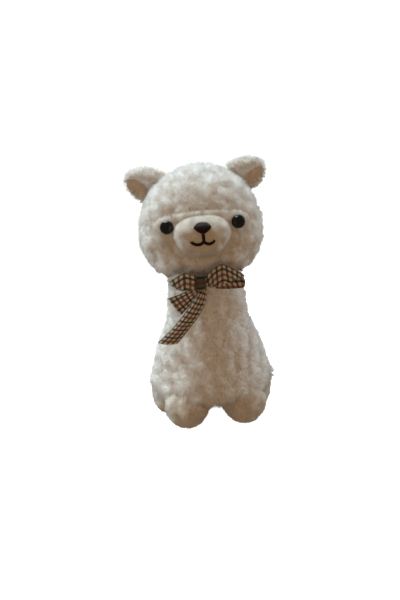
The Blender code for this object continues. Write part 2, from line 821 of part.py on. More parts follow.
def bow_loop(name, side, length, rise, tilt, finish):
    """A loop that leaves the knot narrow, opens to the full width and comes back behind."""
    rise, tilt = math.radians(rise), math.radians(tilt)
    knot = knot_place()
    direction = Vector((side * math.cos(rise), 0, math.sin(rise)))
    up = Vector((-side * math.sin(rise), 0, math.cos(rise)))
    stations = []
    for i in range(17):
        t = i / 16
        out = math.sin(math.pi * t) ** 0.8
        middle = knot + direction * (2 * MM + (length - 2 * MM) * out)
        middle.y -= LOOP_FORWARD * (0.4 + 0.6 * min(1, 2 * out))
        middle.y -= LOOP_OPENING / 2 * math.sin(2 * math.pi * t) * out**0.4
        middle.y += 1.5 * MM * (2 * t - 1)
        middle += up * 3 * MM * math.cos(math.pi * t) * out
        lean = tilt * math.cos(math.pi * t) * out
        across = up * math.cos(lean) + Vector((0, 1, 0)) * math.sin(lean)
        width = PINCH_WIDTH + (RIBBON_WIDTH - PINCH_WIDTH) * min(1, 1.25 * out) ** 0.9
        stations.append((middle, across, width, 0))
    return strip(name, stations, finish)


def chest_front(rows, x, z):
    """The y of the chest's front surface, taken no further round the side than a ribbon bends."""
    half_width, front, back = profile_at(rows, z)
    used = min(abs(x) / half_width, TAIL_REACH_ROUND)
    return (front + back) / 2 - (back - front) / 2 * math.sqrt(1 - used**2)


def ribbon_tail(name, length, bend, turn, slant, finish):
    """An end that leaves the knot narrow and lies down over the chest, and is cut at a slant."""
    rows = torso_rows()
    knot = knot_place()
    x, z = knot.x, knot.z - 3 * MM
    stations = []
    steps = 11
    for i in range(steps + 1):
        t = i / steps
        heading = math.radians(bend[0] + (bend[1] - bend[0]) * min(1, t * 1.8))
        width = PINCH_WIDTH + (RIBBON_WIDTH - PINCH_WIDTH) * min(1, 2.6 * t) ** 0.8
        side_x, side_z = -math.sin(heading), math.cos(heading)
        edges = [
            chest_front(rows, x + side * side_x * width / 2, z + side * side_z * width / 2)
            for side in (-1, 1)
        ]
        lie = min(chest_front(rows, x, z), sum(edges) / 2) - TAIL_LIFT
        y = knot.y + (lie - knot.y) * min(1, t * 2.2)
        fold = math.sin(math.radians(turn)) * (1 - min(1, t * 2))
        slope = (edges[1] - edges[0]) / width * min(1, t * 2)
        across = Vector((side_x, fold + slope, side_z))
        stations.append((Vector((x, y, z)), across, width, slant * max(0, 2 * t - 1)))
        x += length / steps * math.cos(heading)
        z += length / steps * math.sin(heading)
    return strip(name, stations, finish)


def make_ribbon(finish):
    """One ribbon: the turn round the neck, two loops and two ends, gathered in a knot."""
    knot = knot_place()
    rings = []
    for i in range(1, 10):
        lean = math.pi * i / 10
        share = math.sin(lean) ** 0.7
        z = knot.z + KNOT_SIZE[2] / 2 * math.cos(lean)
        ring = []
        for k in range(20):
            angle = 2 * math.pi * k / 20
            folds = 1 + 0.07 * math.cos(5 * angle)
            ring.append(Vector((
                knot.x + KNOT_SIZE[0] / 2 * share * folds * math.cos(angle),
                knot.y + KNOT_SIZE[1] / 2 * share * folds * math.sin(angle),
                z,
            )))
        rings.append(ring)
    ribbon = loft("ribbon", rings, finish)
    parts = [
        neck_band(finish),
        bow_loop("loop_right", 1, RIGHT_LOOP, 4, 28, finish),
        bow_loop("loop_left", -1, LEFT_LOOP, 5, 35, finish),
        ribbon_tail("tail_short", SHORT_TAIL, (224, 208), 30, 0, finish),
        ribbon_tail("tail_long", LONG_TAIL, (248, 225), 40, -6 * MM, finish),
    ]
    for part in parts:
        boolean(ribbon, "UNION", as_helper(part), thin=True)
    return ribbon


def build():
    clear_scene()
    pile = material("ivory_pile", (240, 236, 226), 0.95)
    velour = material("ivory_velour", (238, 230, 214), 0.9)
    tan = material("tan_lining", (200, 168, 130), 0.9)
    black = material("black_moulding", (12, 12, 15), 0.15)
    clear_white = material("white_moulding", (225, 225, 220), 0.4)
    brown = material("brown_thread", (42, 24, 20), 0.6)
    tartan = material("tartan_ribbon", (196, 176, 150), 0.6)

    body = make_body(pile)
    rows = head_rows()
    head = make_head(rows, pile)
    head_seat = grown(head, SEAM_GAP)
    body_seat = grown(body, SEAM_GAP)
    boolean(head, "DIFFERENCE", body_seat)

    for name, side in (("left", -1), ("right", 1)):
        front = make_leg(
            f"leg_front_{name}", front_leg_shape(), side, FRONT_LEG_RADIUS, FRONT_LEG_LENGTH,
            FRONT_LEG_SPREAD, FRONT_LEG_Y, velour,
        )
        rear = make_leg(
            f"leg_rear_{name}", rear_leg_shape(), side, REAR_LEG_RADIUS, REAR_LEG_LENGTH,
            REAR_LEG_SPREAD, REAR_LEG_Y, velour,
        )
        for leg in (front, rear):
            boolean(leg, "DIFFERENCE", body_seat)
    make_tail(body_seat, pile)

    face, muzzle_seat = make_face(rows, head, velour)
    make_eyes(head, face, black, clear_white)
    make_muzzle(muzzle_seat, velour)
    make_nose(brown)
    make_mouth(brown)
    for name, side, angles in (("left", -1, LEFT_EAR_ANGLES), ("right", 1, RIGHT_EAR_ANGLES)):
        frame = ear_frame(side, *angles)
        make_ear(name, frame, head_seat, pile)
        make_ear_lining(name, frame, head_seat, tan)
    make_ribbon(tartan)


build()
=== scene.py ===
"""The looks of a standing plush llama: curly pile, short nap, stitching, moulded eyes and a bow.

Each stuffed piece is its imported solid, remeshed and smoothed. The body and legs are then puffed
out as cloth by the pressure of their filling. On each skin stand thousands of short locks of
fibre, gathered into curls."""

import bmesh
import bpy
import numpy as np
from mathutils import Matrix, Vector


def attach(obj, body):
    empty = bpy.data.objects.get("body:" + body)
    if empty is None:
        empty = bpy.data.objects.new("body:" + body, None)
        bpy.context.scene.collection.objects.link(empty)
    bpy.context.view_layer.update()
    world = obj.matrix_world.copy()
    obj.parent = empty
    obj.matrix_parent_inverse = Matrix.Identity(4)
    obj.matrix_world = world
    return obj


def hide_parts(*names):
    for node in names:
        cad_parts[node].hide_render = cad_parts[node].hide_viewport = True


MM = 0.001
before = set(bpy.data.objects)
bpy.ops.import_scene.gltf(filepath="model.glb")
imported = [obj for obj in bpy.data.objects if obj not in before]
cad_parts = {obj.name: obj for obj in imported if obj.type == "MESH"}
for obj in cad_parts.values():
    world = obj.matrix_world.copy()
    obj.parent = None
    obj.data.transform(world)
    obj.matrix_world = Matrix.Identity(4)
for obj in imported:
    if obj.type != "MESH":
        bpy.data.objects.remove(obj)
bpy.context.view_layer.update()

# The face, from the part's own sizes
FACE_CENTRE = (0, 207 * MM)
FACE_HALF = (47 * MM, 22.5 * MM)
FACE_SQUARENESS = 2.6
FACE_TAPER = 0.17
EYE_SPACING = 71.5 * MM
EYE_HEIGHT = 217 * MM
EYE_RADIUS = 7 * MM

# The muzzle and what is stitched on it
MUZZLE_CENTRE = (0, -69.5 * MM, 207 * MM)
MUZZLE_HALF = (29 * MM, 28 * MM, 19.5 * MM)
MUZZLE_SQUARENESS = 2.4
NOSE_HEIGHT_ABOVE = 8.2 * MM
NOSE_SIZE = (17.4 * MM, 11.4 * MM)
STITCH_SHIFT = -1.2 * MM
MOUTH_WIDTH = 24 * MM
MOUTH_STEM = 5.6 * MM
MOUTH_DROP = 4 * MM
THREAD_LINE = 3 * MM

# The ribbon
RIBBON_WIDTH = 22 * MM
RIBBON_THICKNESS = 0.4 * MM
KNOT = (-6.5 * MM, -64 * MM, 159 * MM)
KNOT_SIZE = (13 * MM, 16 * MM, 16 * MM)
CHECK_PITCH = 5.5 * MM

# The stuffing and the pile
PUFF_CAP = 2.5 * MM
PUFF_FRAMES = 12
NORMAL_ROUNDS = 3
FACES_PER_PIECE = 190000
# The middle of a taller tuft between the crown and the right ear
CROWN_TUFT = np.array([13, -4, 275]) * MM

# How locks stand: the size of a curl and of the swirls; how differently curls lean; how far the
# swirls, the comb and chance turn a lock; how far its tip goes to the middle of its curl; how far
# its shading follows the skin's, and the swirls turn that; and whether it has a knee
CURLY = {
    "spacing": 4.2 * MM, "wave": 18 * MM, "tuft": 0.9, "lean": 0.5, "comb": 0.6,
    "stray": 0.12, "gather": 0.36, "soft": 1.3, "tilt": 0.27, "bent": True,
}
EAR_CURLY = {**CURLY, "lean": 0.35, "soft": 1.2}
SHORT = {
    "spacing": 3 * MM, "wave": 12 * MM, "tuft": 0.3, "lean": 0.22, "comb": 0.7,
    "stray": 0.16, "gather": 0.2, "soft": 1.5, "tilt": 0.2, "bent": False,
}


def linear(hex_colour):
    """A colour written as sRGB hex, turned to the linear values that the shader takes."""
    parts = [int(hex_colour[i : i + 2], 16) / 255 for i in (0, 2, 4)]
    return (*[c / 12.92 if c <= 0.04045 else ((c + 0.055) / 1.055) ** 2.4 for c in parts], 1)


def add(tree, kind, inputs=(), **settings):
    """Adds a node, makes its settings, and sets or links each named input."""
    node = tree.nodes.new(kind)
    for key, value in settings.items():
        setattr(node, key, value)
    for key, value in dict(inputs).items():
        if isinstance(value, bpy.types.NodeSocket):
            tree.links.new(value, node.inputs[key])
        else:
            node.inputs[key].default_value = value
    return node


def surface(name, **constants):
    """A new material with its shader's constant sockets set."""
    made = bpy.data.materials.new(name)
    made.use_nodes = True
    shader = made.node_tree.nodes["Principled BSDF"]
    for key, value in constants.items():
        shader.inputs[key.replace("_", " ")].default_value = value
    return made, made.node_tree, shader


def fibre_material(name, root, tip, shade, patch_scale):
    """Matt polyester fibre: a pale tip, and a root painted darker and warmer as shade, since little
    light reaches deep in the pile.
    """
    made, tree, shader = surface(name, Roughness=0.85)
    shader.inputs["Sheen Weight"].default_value = 0.25
    shader.inputs["Sheen Roughness"].default_value = 0.5
    shader.inputs["Specular IOR Level"].default_value = 0.25
    uv = add(tree, "ShaderNodeUVMap", uv_map="fibre")
    split = add(tree, "ShaderNodeSeparateXYZ", {"Vector": uv.outputs["UV"]})
    # The colour runs from the root's painted shade to the pale tip
    along = add(tree, "ShaderNodeValToRGB", {"Fac": split.outputs["X"]})
    along.color_ramp.elements[0].color = linear(root)
    along.color_ramp.elements[0].position = 0.05
    along.color_ramp.elements[1].color = linear(tip)
    along.color_ramp.elements[1].position = 0.6
    place = add(tree, "ShaderNodeTexCoord")
    patches = add(
        tree, "ShaderNodeTexNoise", {"Vector": place.outputs["Object"], "Scale": patch_scale}
    )
    each = add(
        tree, "ShaderNodeMath", {0: split.outputs["Y"], 1: patches.outputs["Fac"]},
        operation="MULTIPLY",
    )
    mixed = add(
        tree, "ShaderNodeMix", {0: each.outputs[0], 6: along.outputs["Color"], 7: linear(shade)},
        data_type="RGBA", blend_type="MIX",
    )
    tree.links.new(mixed.outputs[2], shader.inputs["Base Color"])
    return made


def cloth_backing(name, colour):
    """The knitted backing that the pile stands in, seen only deep between the locks."""
    made, tree, shader = surface(name, Roughness=0.95)
    place = add(tree, "ShaderNodeTexCoord")
    # A knit of 1.5 mm loops
    knit = add(tree, "ShaderNodeTexVoronoi", {"Vector": place.outputs["Object"], "Scale": 650})
    tone = add(tree, "ShaderNodeValToRGB", {"Fac": knit.outputs["Distance"]})
    tone.color_ramp.elements[0].color = linear(colour[0])
    tone.color_ramp.elements[1].color = linear(colour[1])
    tree.links.new(tone.outputs["Color"], shader.inputs["Base Color"])
    bump = add(
        tree, "ShaderNodeBump",
        {"Height": knit.outputs["Distance"], "Strength": 0.5, "Distance": 0.4 * MM},
    )
    tree.links.new(bump.outputs["Normal"], shader.inputs["Normal"])
    return made


def link(made, material):
    """Puts a new piece in the scene with its material, on the one body that there is."""
    bpy.context.scene.collection.objects.link(made)
    made.data.materials.append(material)
    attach(made, "root")
    return made


def mesh_of(name, points, faces, uv=None, uv_name="fibre"):
    """A mesh from whole arrays: points (n, 3), faces (m, 3 or 4), and a UV for each point."""
    mesh = bpy.data.meshes.new(name)
    corners = faces.shape[1]
    mesh.vertices.add(len(points))
    mesh.vertices.foreach_set("co", np.ascontiguousarray(points, dtype=np.float32).ravel())
    mesh.loops.add(faces.size)
    mesh.loops.foreach_set("vertex_index", np.ascontiguousarray(faces, dtype=np.int32).ravel())
    mesh.polygons.add(len(faces))
    mesh.polygons.foreach_set("loop_start", np.arange(len(faces), dtype=np.int32) * corners)
    mesh.update(calc_edges=True)
    mesh.validate()
    if uv is not None:
        layer = mesh.uv_layers.new(name=uv_name)
        layer.data.foreach_set("uv", uv[faces.ravel()].astype(np.float32).ravel())
    mesh.shade_smooth()
    return bpy.data.objects.new(name, mesh)


def unit(v):
    return v / np.maximum(np.linalg.norm(v, axis=-1, keepdims=True), 1e-9)


def read(items, key, kind=np.float32):
    """Three numbers that Blender keeps for each item, as one array (n, 3)."""
    values = np.empty(len(items) * 3, dtype=kind)
    items.foreach_get(key, values)
    return values.reshape(-1, 3)


def set_points(mesh, change):
    """Moves all the points of a mesh at once by a function of their places."""
    points = change(read(mesh.vertices, "co").astype(np.float64))
    mesh.vertices.foreach_set("co", points.astype(np.float32).ravel())
    mesh.update()


def stuffed(node, voxel, pressure, inset):
    """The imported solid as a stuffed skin: remeshed, puffed by cloth where it has a pressure, then
    drawn in by the inset, which is how deep the pile is rooted below the outline."""
    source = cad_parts[node]
    skin = bpy.data.objects.new(f"{node}_skin", source.data.copy())
    bpy.context.scene.collection.objects.link(skin)
    skin.matrix_world = source.matrix_world
    skin.data.transform(skin.matrix_world)
    skin.matrix_world = Matrix.Identity(4)
    skin.data.materials.clear()
    steps = [("WELD", {"merge_threshold": 1e-5})]
    steps.append(("REMESH", {"mode": "VOXEL", "voxel_size": voxel, "use_smooth_shade": True}))
    steps.append(("SMOOTH", {"factor": 0.5, "iterations": 6}))
    for kind, values in steps:
        step = skin.modifiers.new(kind.lower(), kind)
        for key, value in values.items():
            setattr(step, key, value)
    apply_all(skin)
    if pressure:
        puff(skin, pressure)
    mesh = skin.data
    normals = read(mesh.vertex_normals, "vector")
    mesh.vertices.foreach_set("co", (read(mesh.vertices, "co") - normals * inset).ravel())
    mesh.update()
    mesh.shade_smooth()
    calm(mesh, normals, NORMAL_ROUNDS)
    return skin


def calm(mesh, normals, rounds):
    """Keeps on the mesh the normals that light sees through dense pile: each is the mean of its
    own and its neighbours', taken so many rounds."""
    ends = np.empty(len(mesh.edges) * 2, dtype=np.int32)
    mesh.edges.foreach_get("vertices", ends)
    a, b = ends.reshape(-1, 2).T
    for _ in range(rounds):
        total = normals.copy()
        for axis in range(3):
            total[:, axis] += np.bincount(a, normals[b, axis], len(normals))
            total[:, axis] += np.bincount(b, normals[a, axis], len(normals))
        normals = unit(total)
    layer = mesh.attributes.new("calm", "FLOAT_VECTOR", "POINT")
    layer.data.foreach_set("vector", normals.astype(np.float32).ravel())


def apply_all(made):
    """Puts what the modifiers make into the mesh, and takes them off."""
    depsgraph = bpy.context.evaluated_depsgraph_get()
    mesh = bpy.data.meshes.new_from_object(made.evaluated_get(depsgraph))
    made.modifiers.clear()
    old = made.data
    made.data = mesh
    bpy.data.meshes.remove(old)


def puff(skin, pressure):
    """Lets the filling press the cloth out for a few frames, with no gravity. No point moves
    further than the cap. Above 80 mm they move less, and from 110 mm, near the ribbon, not at
    all."""
    before = read(skin.data.vertices, "co")
    cloth = skin.modifiers.new("cloth", "CLOTH")
    cloth.settings.quality = 4
    cloth.settings.use_pressure = True
    cloth.settings.uniform_pressure_force = pressure
    cloth.settings.tension_stiffness = 40
    cloth.settings.compression_stiffness = 40
    cloth.settings.shear_stiffness = 20
    cloth.settings.effector_weights.gravity = 0
    cloth.point_cache.frame_start, cloth.point_cache.frame_end = 1, PUFF_FRAMES
    scene = bpy.context.scene
    for number in range(1, PUFF_FRAMES + 1):
        scene.frame_set(number)
    apply_all(skin)
    scene.frame_set(1)
    move = read(skin.data.vertices, "co") - before
    reach = np.maximum(np.linalg.norm(move, axis=1, keepdims=True), 1e-9)
    move *= np.minimum(1, PUFF_CAP / reach) * np.clip((110 * MM - before[:, 2:]) / (30 * MM), 0, 1)
    after = before + move
    after[:, 2] = np.maximum(after[:, 2], 0.2 * MM)
    skin.data.vertices.foreach_set("co", after.ravel())
    skin.data.update()


def scatter(skin, per_mm2, seed):
    """Places spread evenly over a skin, with its normals there and the calmed ones: each triangle
    takes its share of the area."""
    mesh = skin.data
    mesh.calc_loop_triangles()
    points, normals = read(mesh.vertices, "co"), read(mesh.vertex_normals, "vector")
    calmed = read(mesh.attributes["calm"].data, "vector")
    corners = read(mesh.loop_triangles, "vertices", np.int32)
    a, b, c = (points[corners[:, i]] for i in range(3))
    area = np.linalg.norm(np.cross(b - a, c - a), axis=1) / 2
    total = np.cumsum(area)
    wanted = int(total[-1] * 1e6 * per_mm2)
    rng = np.random.default_rng(seed)
    pick = np.searchsorted(total, (np.arange(wanted) + rng.random(wanted)) / wanted * total[-1])
    pick = np.minimum(pick, len(area) - 1)
    root = np.sqrt(rng.random(wanted))[:, None]
    side = rng.random(wanted)[:, None]
    weights = (1 - root, root * (1 - side), root * side)
    places = sum(w * points[corners[pick, i]] for i, w in enumerate(weights))
    facing = unit(sum(w * normals[corners[pick, i]] for i, w in enumerate(weights)))
    light = unit(sum(w * calmed[corners[pick, i]] for i, w in enumerate(weights)))
    return places, facing, light


def hashed(cells, salt):
    """Four numbers from 0 to 1 for each cell of whole-number coordinates, always the same."""
    mixed = cells[..., 0] * 73856093 ^ cells[..., 1] * 19349663 ^ cells[..., 2] * 83492791
    mixed = (mixed + salt * 2654435761) & 0xFFFFFFFF
    out = []
    for _ in range(4):
        mixed = ((mixed ^ (mixed >> 16)) * 0x45D9F3B) & 0xFFFFFFFF
        mixed = (mixed ^ (mixed >> 15)) & 0xFFFFFFFF
        out.append(mixed / 0xFFFFFFFF)
    return np.stack(out, axis=-1)


def curls(places, spacing, salt):
    """The curl that each place belongs to: the nearest of one jittered point in each grid cell.
    Gives that point and four numbers that are the same all over the curl."""
    cell = np.floor(places / spacing).astype(np.int64)
    best = np.full(len(places), np.inf)
    centre = np.zeros_like(places)
    marks = np.zeros((len(places), 4))
    for step in np.ndindex(3, 3, 3):
        near = cell + np.array(step) - 1
        jitter = hashed(near, salt)
        point = (near + jitter[:, :3]) * spacing
        distance = np.sum((point - places) ** 2, axis=1)
        closer = distance < best
        best = np.where(closer, distance, best)
        centre[closer] = point[closer]
        marks[closer] = hashed(near, salt + 7)[closer]
    return centre, marks


def swirl(places, size, salt):
    """A smooth field of directions over the pile: each of its three numbers is the sum of four
    sines, sin(k . place + phase), with k in fixed scattered directions and 2 pi / |k| near size."""
    rng = np.random.default_rng(salt)
    waves = unit(rng.normal(size=(3, 4, 3))) * 2 * np.pi / size * rng.uniform(0.7, 1.5, (3, 4, 1))
    phases = rng.uniform(0, 2 * np.pi, (3, 4))
    return np.sin(np.einsum("nk,abk->nab", places, waves) + phases).sum(axis=2) / 2


def locks(name, places, normals, light, length, width, comb, curl, material, seed):
    """Short locks of fibre, each a three-sided spike, bent at a knee or straight.

    A lock starts along the normal and ends leaning along comb, pulled towards the middle of its
    curl: point(t) = (1-t)^2 root + 2t(1-t) knee + t^2 tip. Its radius is the width at the root,
    0.8 of that at the knee and 0 at the tip. Its shading normals lean to the skin's, as light
    spreads through the pile from lock to lock."""
    rng = np.random.default_rng(seed)
    count = len(places)
    centre, marks = curls(places, curl["spacing"], seed)
    lengths = length * (0.86 + 0.28 * marks[:, 0]) * (0.85 + 0.3 * rng.random(count))
    widths = width * (0.8 + 0.4 * rng.random(count))
    lean = swirl(places, curl["wave"], 3) + (marks[:, 1:4] * 2 - 1) * curl["tuft"]
    lean -= normals * np.sum(lean * normals, axis=1, keepdims=True)
    along = comb - normals * np.sum(comb * normals, axis=1, keepdims=True)
    stray = rng.normal(size=(count, 3)) * curl["stray"]
    inward = centre - places
    inward -= normals * np.sum(inward * normals, axis=1, keepdims=True)
    aim = unit(normals + along * curl["comb"] + lean * curl["lean"] + stray)
    tip = places + aim * lengths[:, None] + inward * curl["gather"]
    tip[:, 2] = np.maximum(tip[:, 2], 0.3 * MM)
    knee = places + unit(normals + stray * 0.5) * lengths[:, None] * 0.5
    middle = 0.25 * places + 0.5 * knee + 0.25 * tip
    side = unit(np.cross(aim, unit(rng.normal(size=(count, 3)))))
    other = np.cross(aim, side)
    angles = np.arange(3) * 2 * np.pi / 3
    turn, across = np.cos(angles)[None, :, None], np.sin(angles)[None, :, None]
    ring = side[:, None] * turn + other[:, None] * across
    own = rng.random(count) * 0.5 + marks[:, 3] * 0.5
    soft = unit(light + lean * curl["tilt"])[:, None] * curl["soft"]
    base = places[:, None] + ring * widths[:, None, None]
    if curl["bent"]:
        waist = middle[:, None] + ring * widths[:, None, None] * 0.8
        points = np.concatenate([base, waist, tip[:, None]], axis=1)
        shading = np.concatenate([ring + soft, ring + soft, aim[:, None] + soft], axis=1)
        spike = np.array([
            (0, 1, 4), (0, 4, 3), (1, 2, 5), (1, 5, 4), (2, 0, 3), (2, 3, 5),
            (3, 4, 6), (4, 5, 6), (5, 3, 6), (2, 1, 0),
        ])
        share = np.array([0, 0, 0, 0.5, 0.5, 0.5, 1.0])
    else:
        points = np.concatenate([base, tip[:, None]], axis=1)
        shading = np.concatenate([ring + soft, aim[:, None] + soft], axis=1)
        spike = np.array([(0, 1, 3), (1, 2, 3), (2, 0, 3), (2, 1, 0)])
        share = np.array([0, 0, 0, 1.0])
    corners = len(share)
    faces = (spike[None] + (np.arange(count) * corners)[:, None, None]).reshape(-1, 3)
    uv = np.stack([np.tile(share, count), np.repeat(own, corners)], axis=1)
    made = mesh_of(name, points.reshape(-1, 3), faces, uv)
    made.data.normals_split_custom_set_from_vertices(unit(shading).reshape(-1, 3))
    # Pale fibres let the light through, so the shadows come from the stuffed skins alone
    made.visible_shadow = False
    return link(made, material)


def pelt(name, skin, density, shape, seed):
    """Pile all over a skin, in pieces of at most FACES_PER_PIECE faces.

    shape takes the places and normals and gives which to keep, their length, width and comb, the
    curl, the material and the slot."""
    places, normals, light = scatter(skin, density, seed)
    keep, length, width, comb, curl, material, slot = shape(places, normals)
    length = np.broadcast_to(length, len(places))[keep]
    places, normals, light, comb = (
        each[keep] for each in (places, normals, light, combed(places, comb))
    )
    faces = 10 if curl["bent"] else 4
    parts = max(1, int(np.ceil(len(places) * faces / FACES_PER_PIECE)))
    order = np.argsort(places[:, 0], kind="stable")
    for number, part in enumerate(np.array_split(order, parts)):
        locks(
            name if parts == 1 else f"{name}_{number + 1}", places[part], normals[part],
            light[part], length[part], width, comb[part], curl, material, seed,
        )


def in_face(places):
    """How far out a place lies in the face's outline, seen from the front: |x / half width|^p +
    |z / half height|^p, which is 1 on the outline. The half width grows upwards."""
    x, z = places[:, 0] - FACE_CENTRE[0], places[:, 2] - FACE_CENTRE[1]
    wide = FACE_HALF[0] * (1 + FACE_TAPER * z / FACE_HALF[1])
    return np.abs(x / wide) ** FACE_SQUARENESS + np.abs(z / FACE_HALF[1]) ** FACE_SQUARENESS


def near_eye(places):
    """The distance from the axis of the nearer eye, seen from the front."""
    return np.hypot(np.abs(places[:, 0]) - EYE_SPACING / 2, places[:, 2] - EYE_HEIGHT)


def far_from(places, node, least):
    """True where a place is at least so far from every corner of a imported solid."""
    corners = read(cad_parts[node].data.vertices, "co")
    keep = np.ones(len(places), dtype=bool)
    for start in range(0, len(places), 2000):
        part = places[start : start + 2000]
        gaps = np.sum((part[:, None] - corners[None]) ** 2, axis=2).min(axis=1)
        keep[start : start + 2000] = gaps > least**2
    return keep


def combed(places, direction):
    """A comb direction for each place, from one for all or one for each."""
    return np.broadcast_to(np.asarray(direction, dtype=float), places.shape)


def shell(grid, thickness, uv, closed=False):
    """A cloth with two faces and edges: the grid moved half a thickness along its normals each way.
    grid is (n, m, 3), uv (n, m, 2); a closed one joins its last row to its first."""
    n, m = grid.shape[:2]
    if closed:
        along = np.roll(grid, -1, axis=0) - np.roll(grid, 1, axis=0)
    else:
        along = np.gradient(grid, axis=0)
    normal = unit(np.cross(along, np.gradient(grid, axis=1)))
    points = np.concatenate([grid + normal * thickness / 2, grid - normal * thickness / 2])
    points = points.reshape(-1, 3)
    index = np.arange(n * m).reshape(n, m)
    rows = np.concatenate([index, index[:1]]) if closed else index
    a, b, c, d = rows[:-1, :-1], rows[1:, :-1], rows[1:, 1:], rows[:-1, 1:]
    top = np.stack([a, b, c, d], axis=-1).reshape(-1, 4)
    bottom = top[:, ::-1] + n * m
    borders = [rows[:, 0][::-1], rows[:, -1]]
    if not closed:
        borders += [index[0], index[-1][::-1]]
    rims = [
        np.stack([e[:-1], e[:-1] + n * m, e[1:] + n * m, e[1:]], axis=-1) for e in borders
    ]
    faces = np.concatenate([top, bottom, *rims])
    return points, faces, np.concatenate([uv.reshape(-1, 2)] * 2)


def through(rows, count):
    """A smooth curve through a few rows of numbers (a Catmull-Rom spline), at even steps."""
    rows = np.array(rows, dtype=float)
    padded = np.concatenate([2 * rows[:1] - rows[1:2], rows, 2 * rows[-1:] - rows[-2:-1]])
    t = np.linspace(0, len(rows) - 1 - 1e-9, count)
    i = t.astype(int)
    t = (t - i)[:, None]
    p0, p1, p2, p3 = (padded[i + k] for k in range(4))
    return 0.5 * (
        2 * p1 + (p2 - p0) * t + (2 * p0 - 5 * p1 + 4 * p2 - p3) * t**2
        + (3 * p1 - p0 - 3 * p2 + p3) * t**3
    )


def make_stage():
    """A pale bowl of paper, floor and walls in one, and soft cool light from behind, above and the
    sides, while the front is left in the warm light of the room and what the floor sends back.

    point(r, a) = (r cos a, r sin a, height(r)), the height rising along a quarter circle."""
    rise = np.linspace(0, np.pi / 2, 16)[None]
    round_ = np.linspace(0, 2 * np.pi, 73)[:, None]
    radius = np.concatenate([[[0.001]], 2.2 + 0.8 * np.sin(rise), [[3]]], axis=1)
    height = np.concatenate([[[0]], 0.8 - 0.8 * np.cos(rise), [[4.5]]], axis=1) - 0.3 * MM
    grid = np.stack(
        np.broadcast_arrays(radius * np.cos(round_), radius * np.sin(round_), height), axis=-1
    )
    index = np.arange(grid[..., 0].size).reshape(grid.shape[:2])
    corners = [index[:-1, :-1], index[:-1, 1:], index[1:, 1:], index[1:, :-1]]
    faces = np.stack(corners, axis=-1).reshape(-1, 4)[:, ::-1]
    sweep = mesh_of("paper_sweep", grid.reshape(-1, 3), faces)
    bpy.context.scene.collection.objects.link(sweep)
    paper, _, shader = surface("matt_white_paper", Roughness=0.9)
    shader.inputs["Base Color"].default_value = linear("F8F8F7")
    shader.inputs["Emission Color"].default_value = (1, 1, 1, 1)
    shader.inputs["Emission Strength"].default_value = 1
    sweep.data.materials.append(paper)
    sweep.visible_diffuse = False
    sweep.visible_glossy = False
    sweep.visible_shadow = False
    for name, power, colour, size, place in (
        ("behind", 8, (0.86, 0.95, 1), 0.8, (-0.3, 1.1, 1.1)),
        ("overhead", 13.6, (0.81, 0.94, 1), 0.9, (-0.25, 0.2, 1.4)),
        ("left", 8, (0.85, 0.96, 1), 0.7, (-1.15, 0.4, 0.45)),
        ("right", 6.2, (0.87, 0.96, 1), 0.7, (1.15, 0.35, 0.6)),
        ("front", 0.05, (1, 0.93, 0.84), 0.3, (-0.6, -1.2, 1.3)),
        ("floor_glow", 0.5, (1, 0.58, 0.3), 0.4, (0, -0.65, 0.05)),
    ):
        light = bpy.data.lights.new(name, "AREA")
        light.energy, light.color, light.size = power, colour, size
        lamp = bpy.data.objects.new(name, light)
        lamp.location = place
        aim = Vector((0, 0, 0.14)) - Vector(place)
        lamp.rotation_euler = aim.to_track_quat("-Z", "Y").to_euler()
        lamp.visible_glossy = name in ("front", "overhead")
        bpy.context.scene.collection.objects.link(lamp)
    world = bpy.data.worlds.new("room")
    world.use_nodes = True
    world.node_tree.nodes["Background"].inputs["Color"].default_value = (1, 0.8, 0.6, 1)
    world.node_tree.nodes["Background"].inputs["Strength"].default_value = 0.178
    bpy.context.scene.world = world
    bpy.context.scene.view_settings.view_transform = "Standard"


def make_camera():
    """A little above the toy and rolled, so that it leans to the left as in the photograph."""
    azimuth, rise, distance, roll = np.radians(-2), np.radians(8.5), 0.95, np.radians(4.8)
    back = np.array([np.sin(azimuth) * np.cos(rise), -np.cos(azimuth) * np.cos(rise), np.sin(rise)])
    right = unit(np.cross([0, 0, 1], back))
    up = np.cross(back, right)
    across = np.cos(roll) * right - np.sin(roll) * up
    above = np.cos(roll) * up + np.sin(roll) * right
    aim = np.array([0, 0, 0.145]) - across * 5.2 * MM - above * 13.7 * MM
    camera = bpy.data.objects.new("camera", bpy.data.cameras.new("camera"))
    camera.data.sensor_fit = "VERTICAL"
    camera.data.sensor_height = 36
    camera.data.lens = 36 * distance / (600 * 1.08 * MM)
    axes = np.stack([across, above, back], axis=1)
    camera.matrix_world = Matrix.Translation(aim + back * distance) @ Matrix(axes).to_4x4()
    bpy.context.scene.collection.objects.link(camera)
    bpy.context.scene.camera = camera


def ear_frame(side):
    """The place and directions of an ear, as it is sewn on: base, out, up and facing."""
    round_head, rise = {-1: (49, 27), 1: (45.3, 23.5)}[side]
    angle, lift, roll = np.radians(round_head), np.radians(rise), np.radians(24)
    base = np.array([side * 63.05 * np.sin(angle), -15, 215.16 + 60.84 * np.cos(angle)]) * MM
    out = np.array([side * np.cos(lift), 0, np.sin(lift)])
    level = np.array([-side * np.sin(lift), 0, np.cos(lift)])
    facing = np.array([0, -np.cos(roll), 0]) - level * np.sin(roll)
    return base - out * 10 * MM, out, unit(np.cross(facing, out)) * side, facing


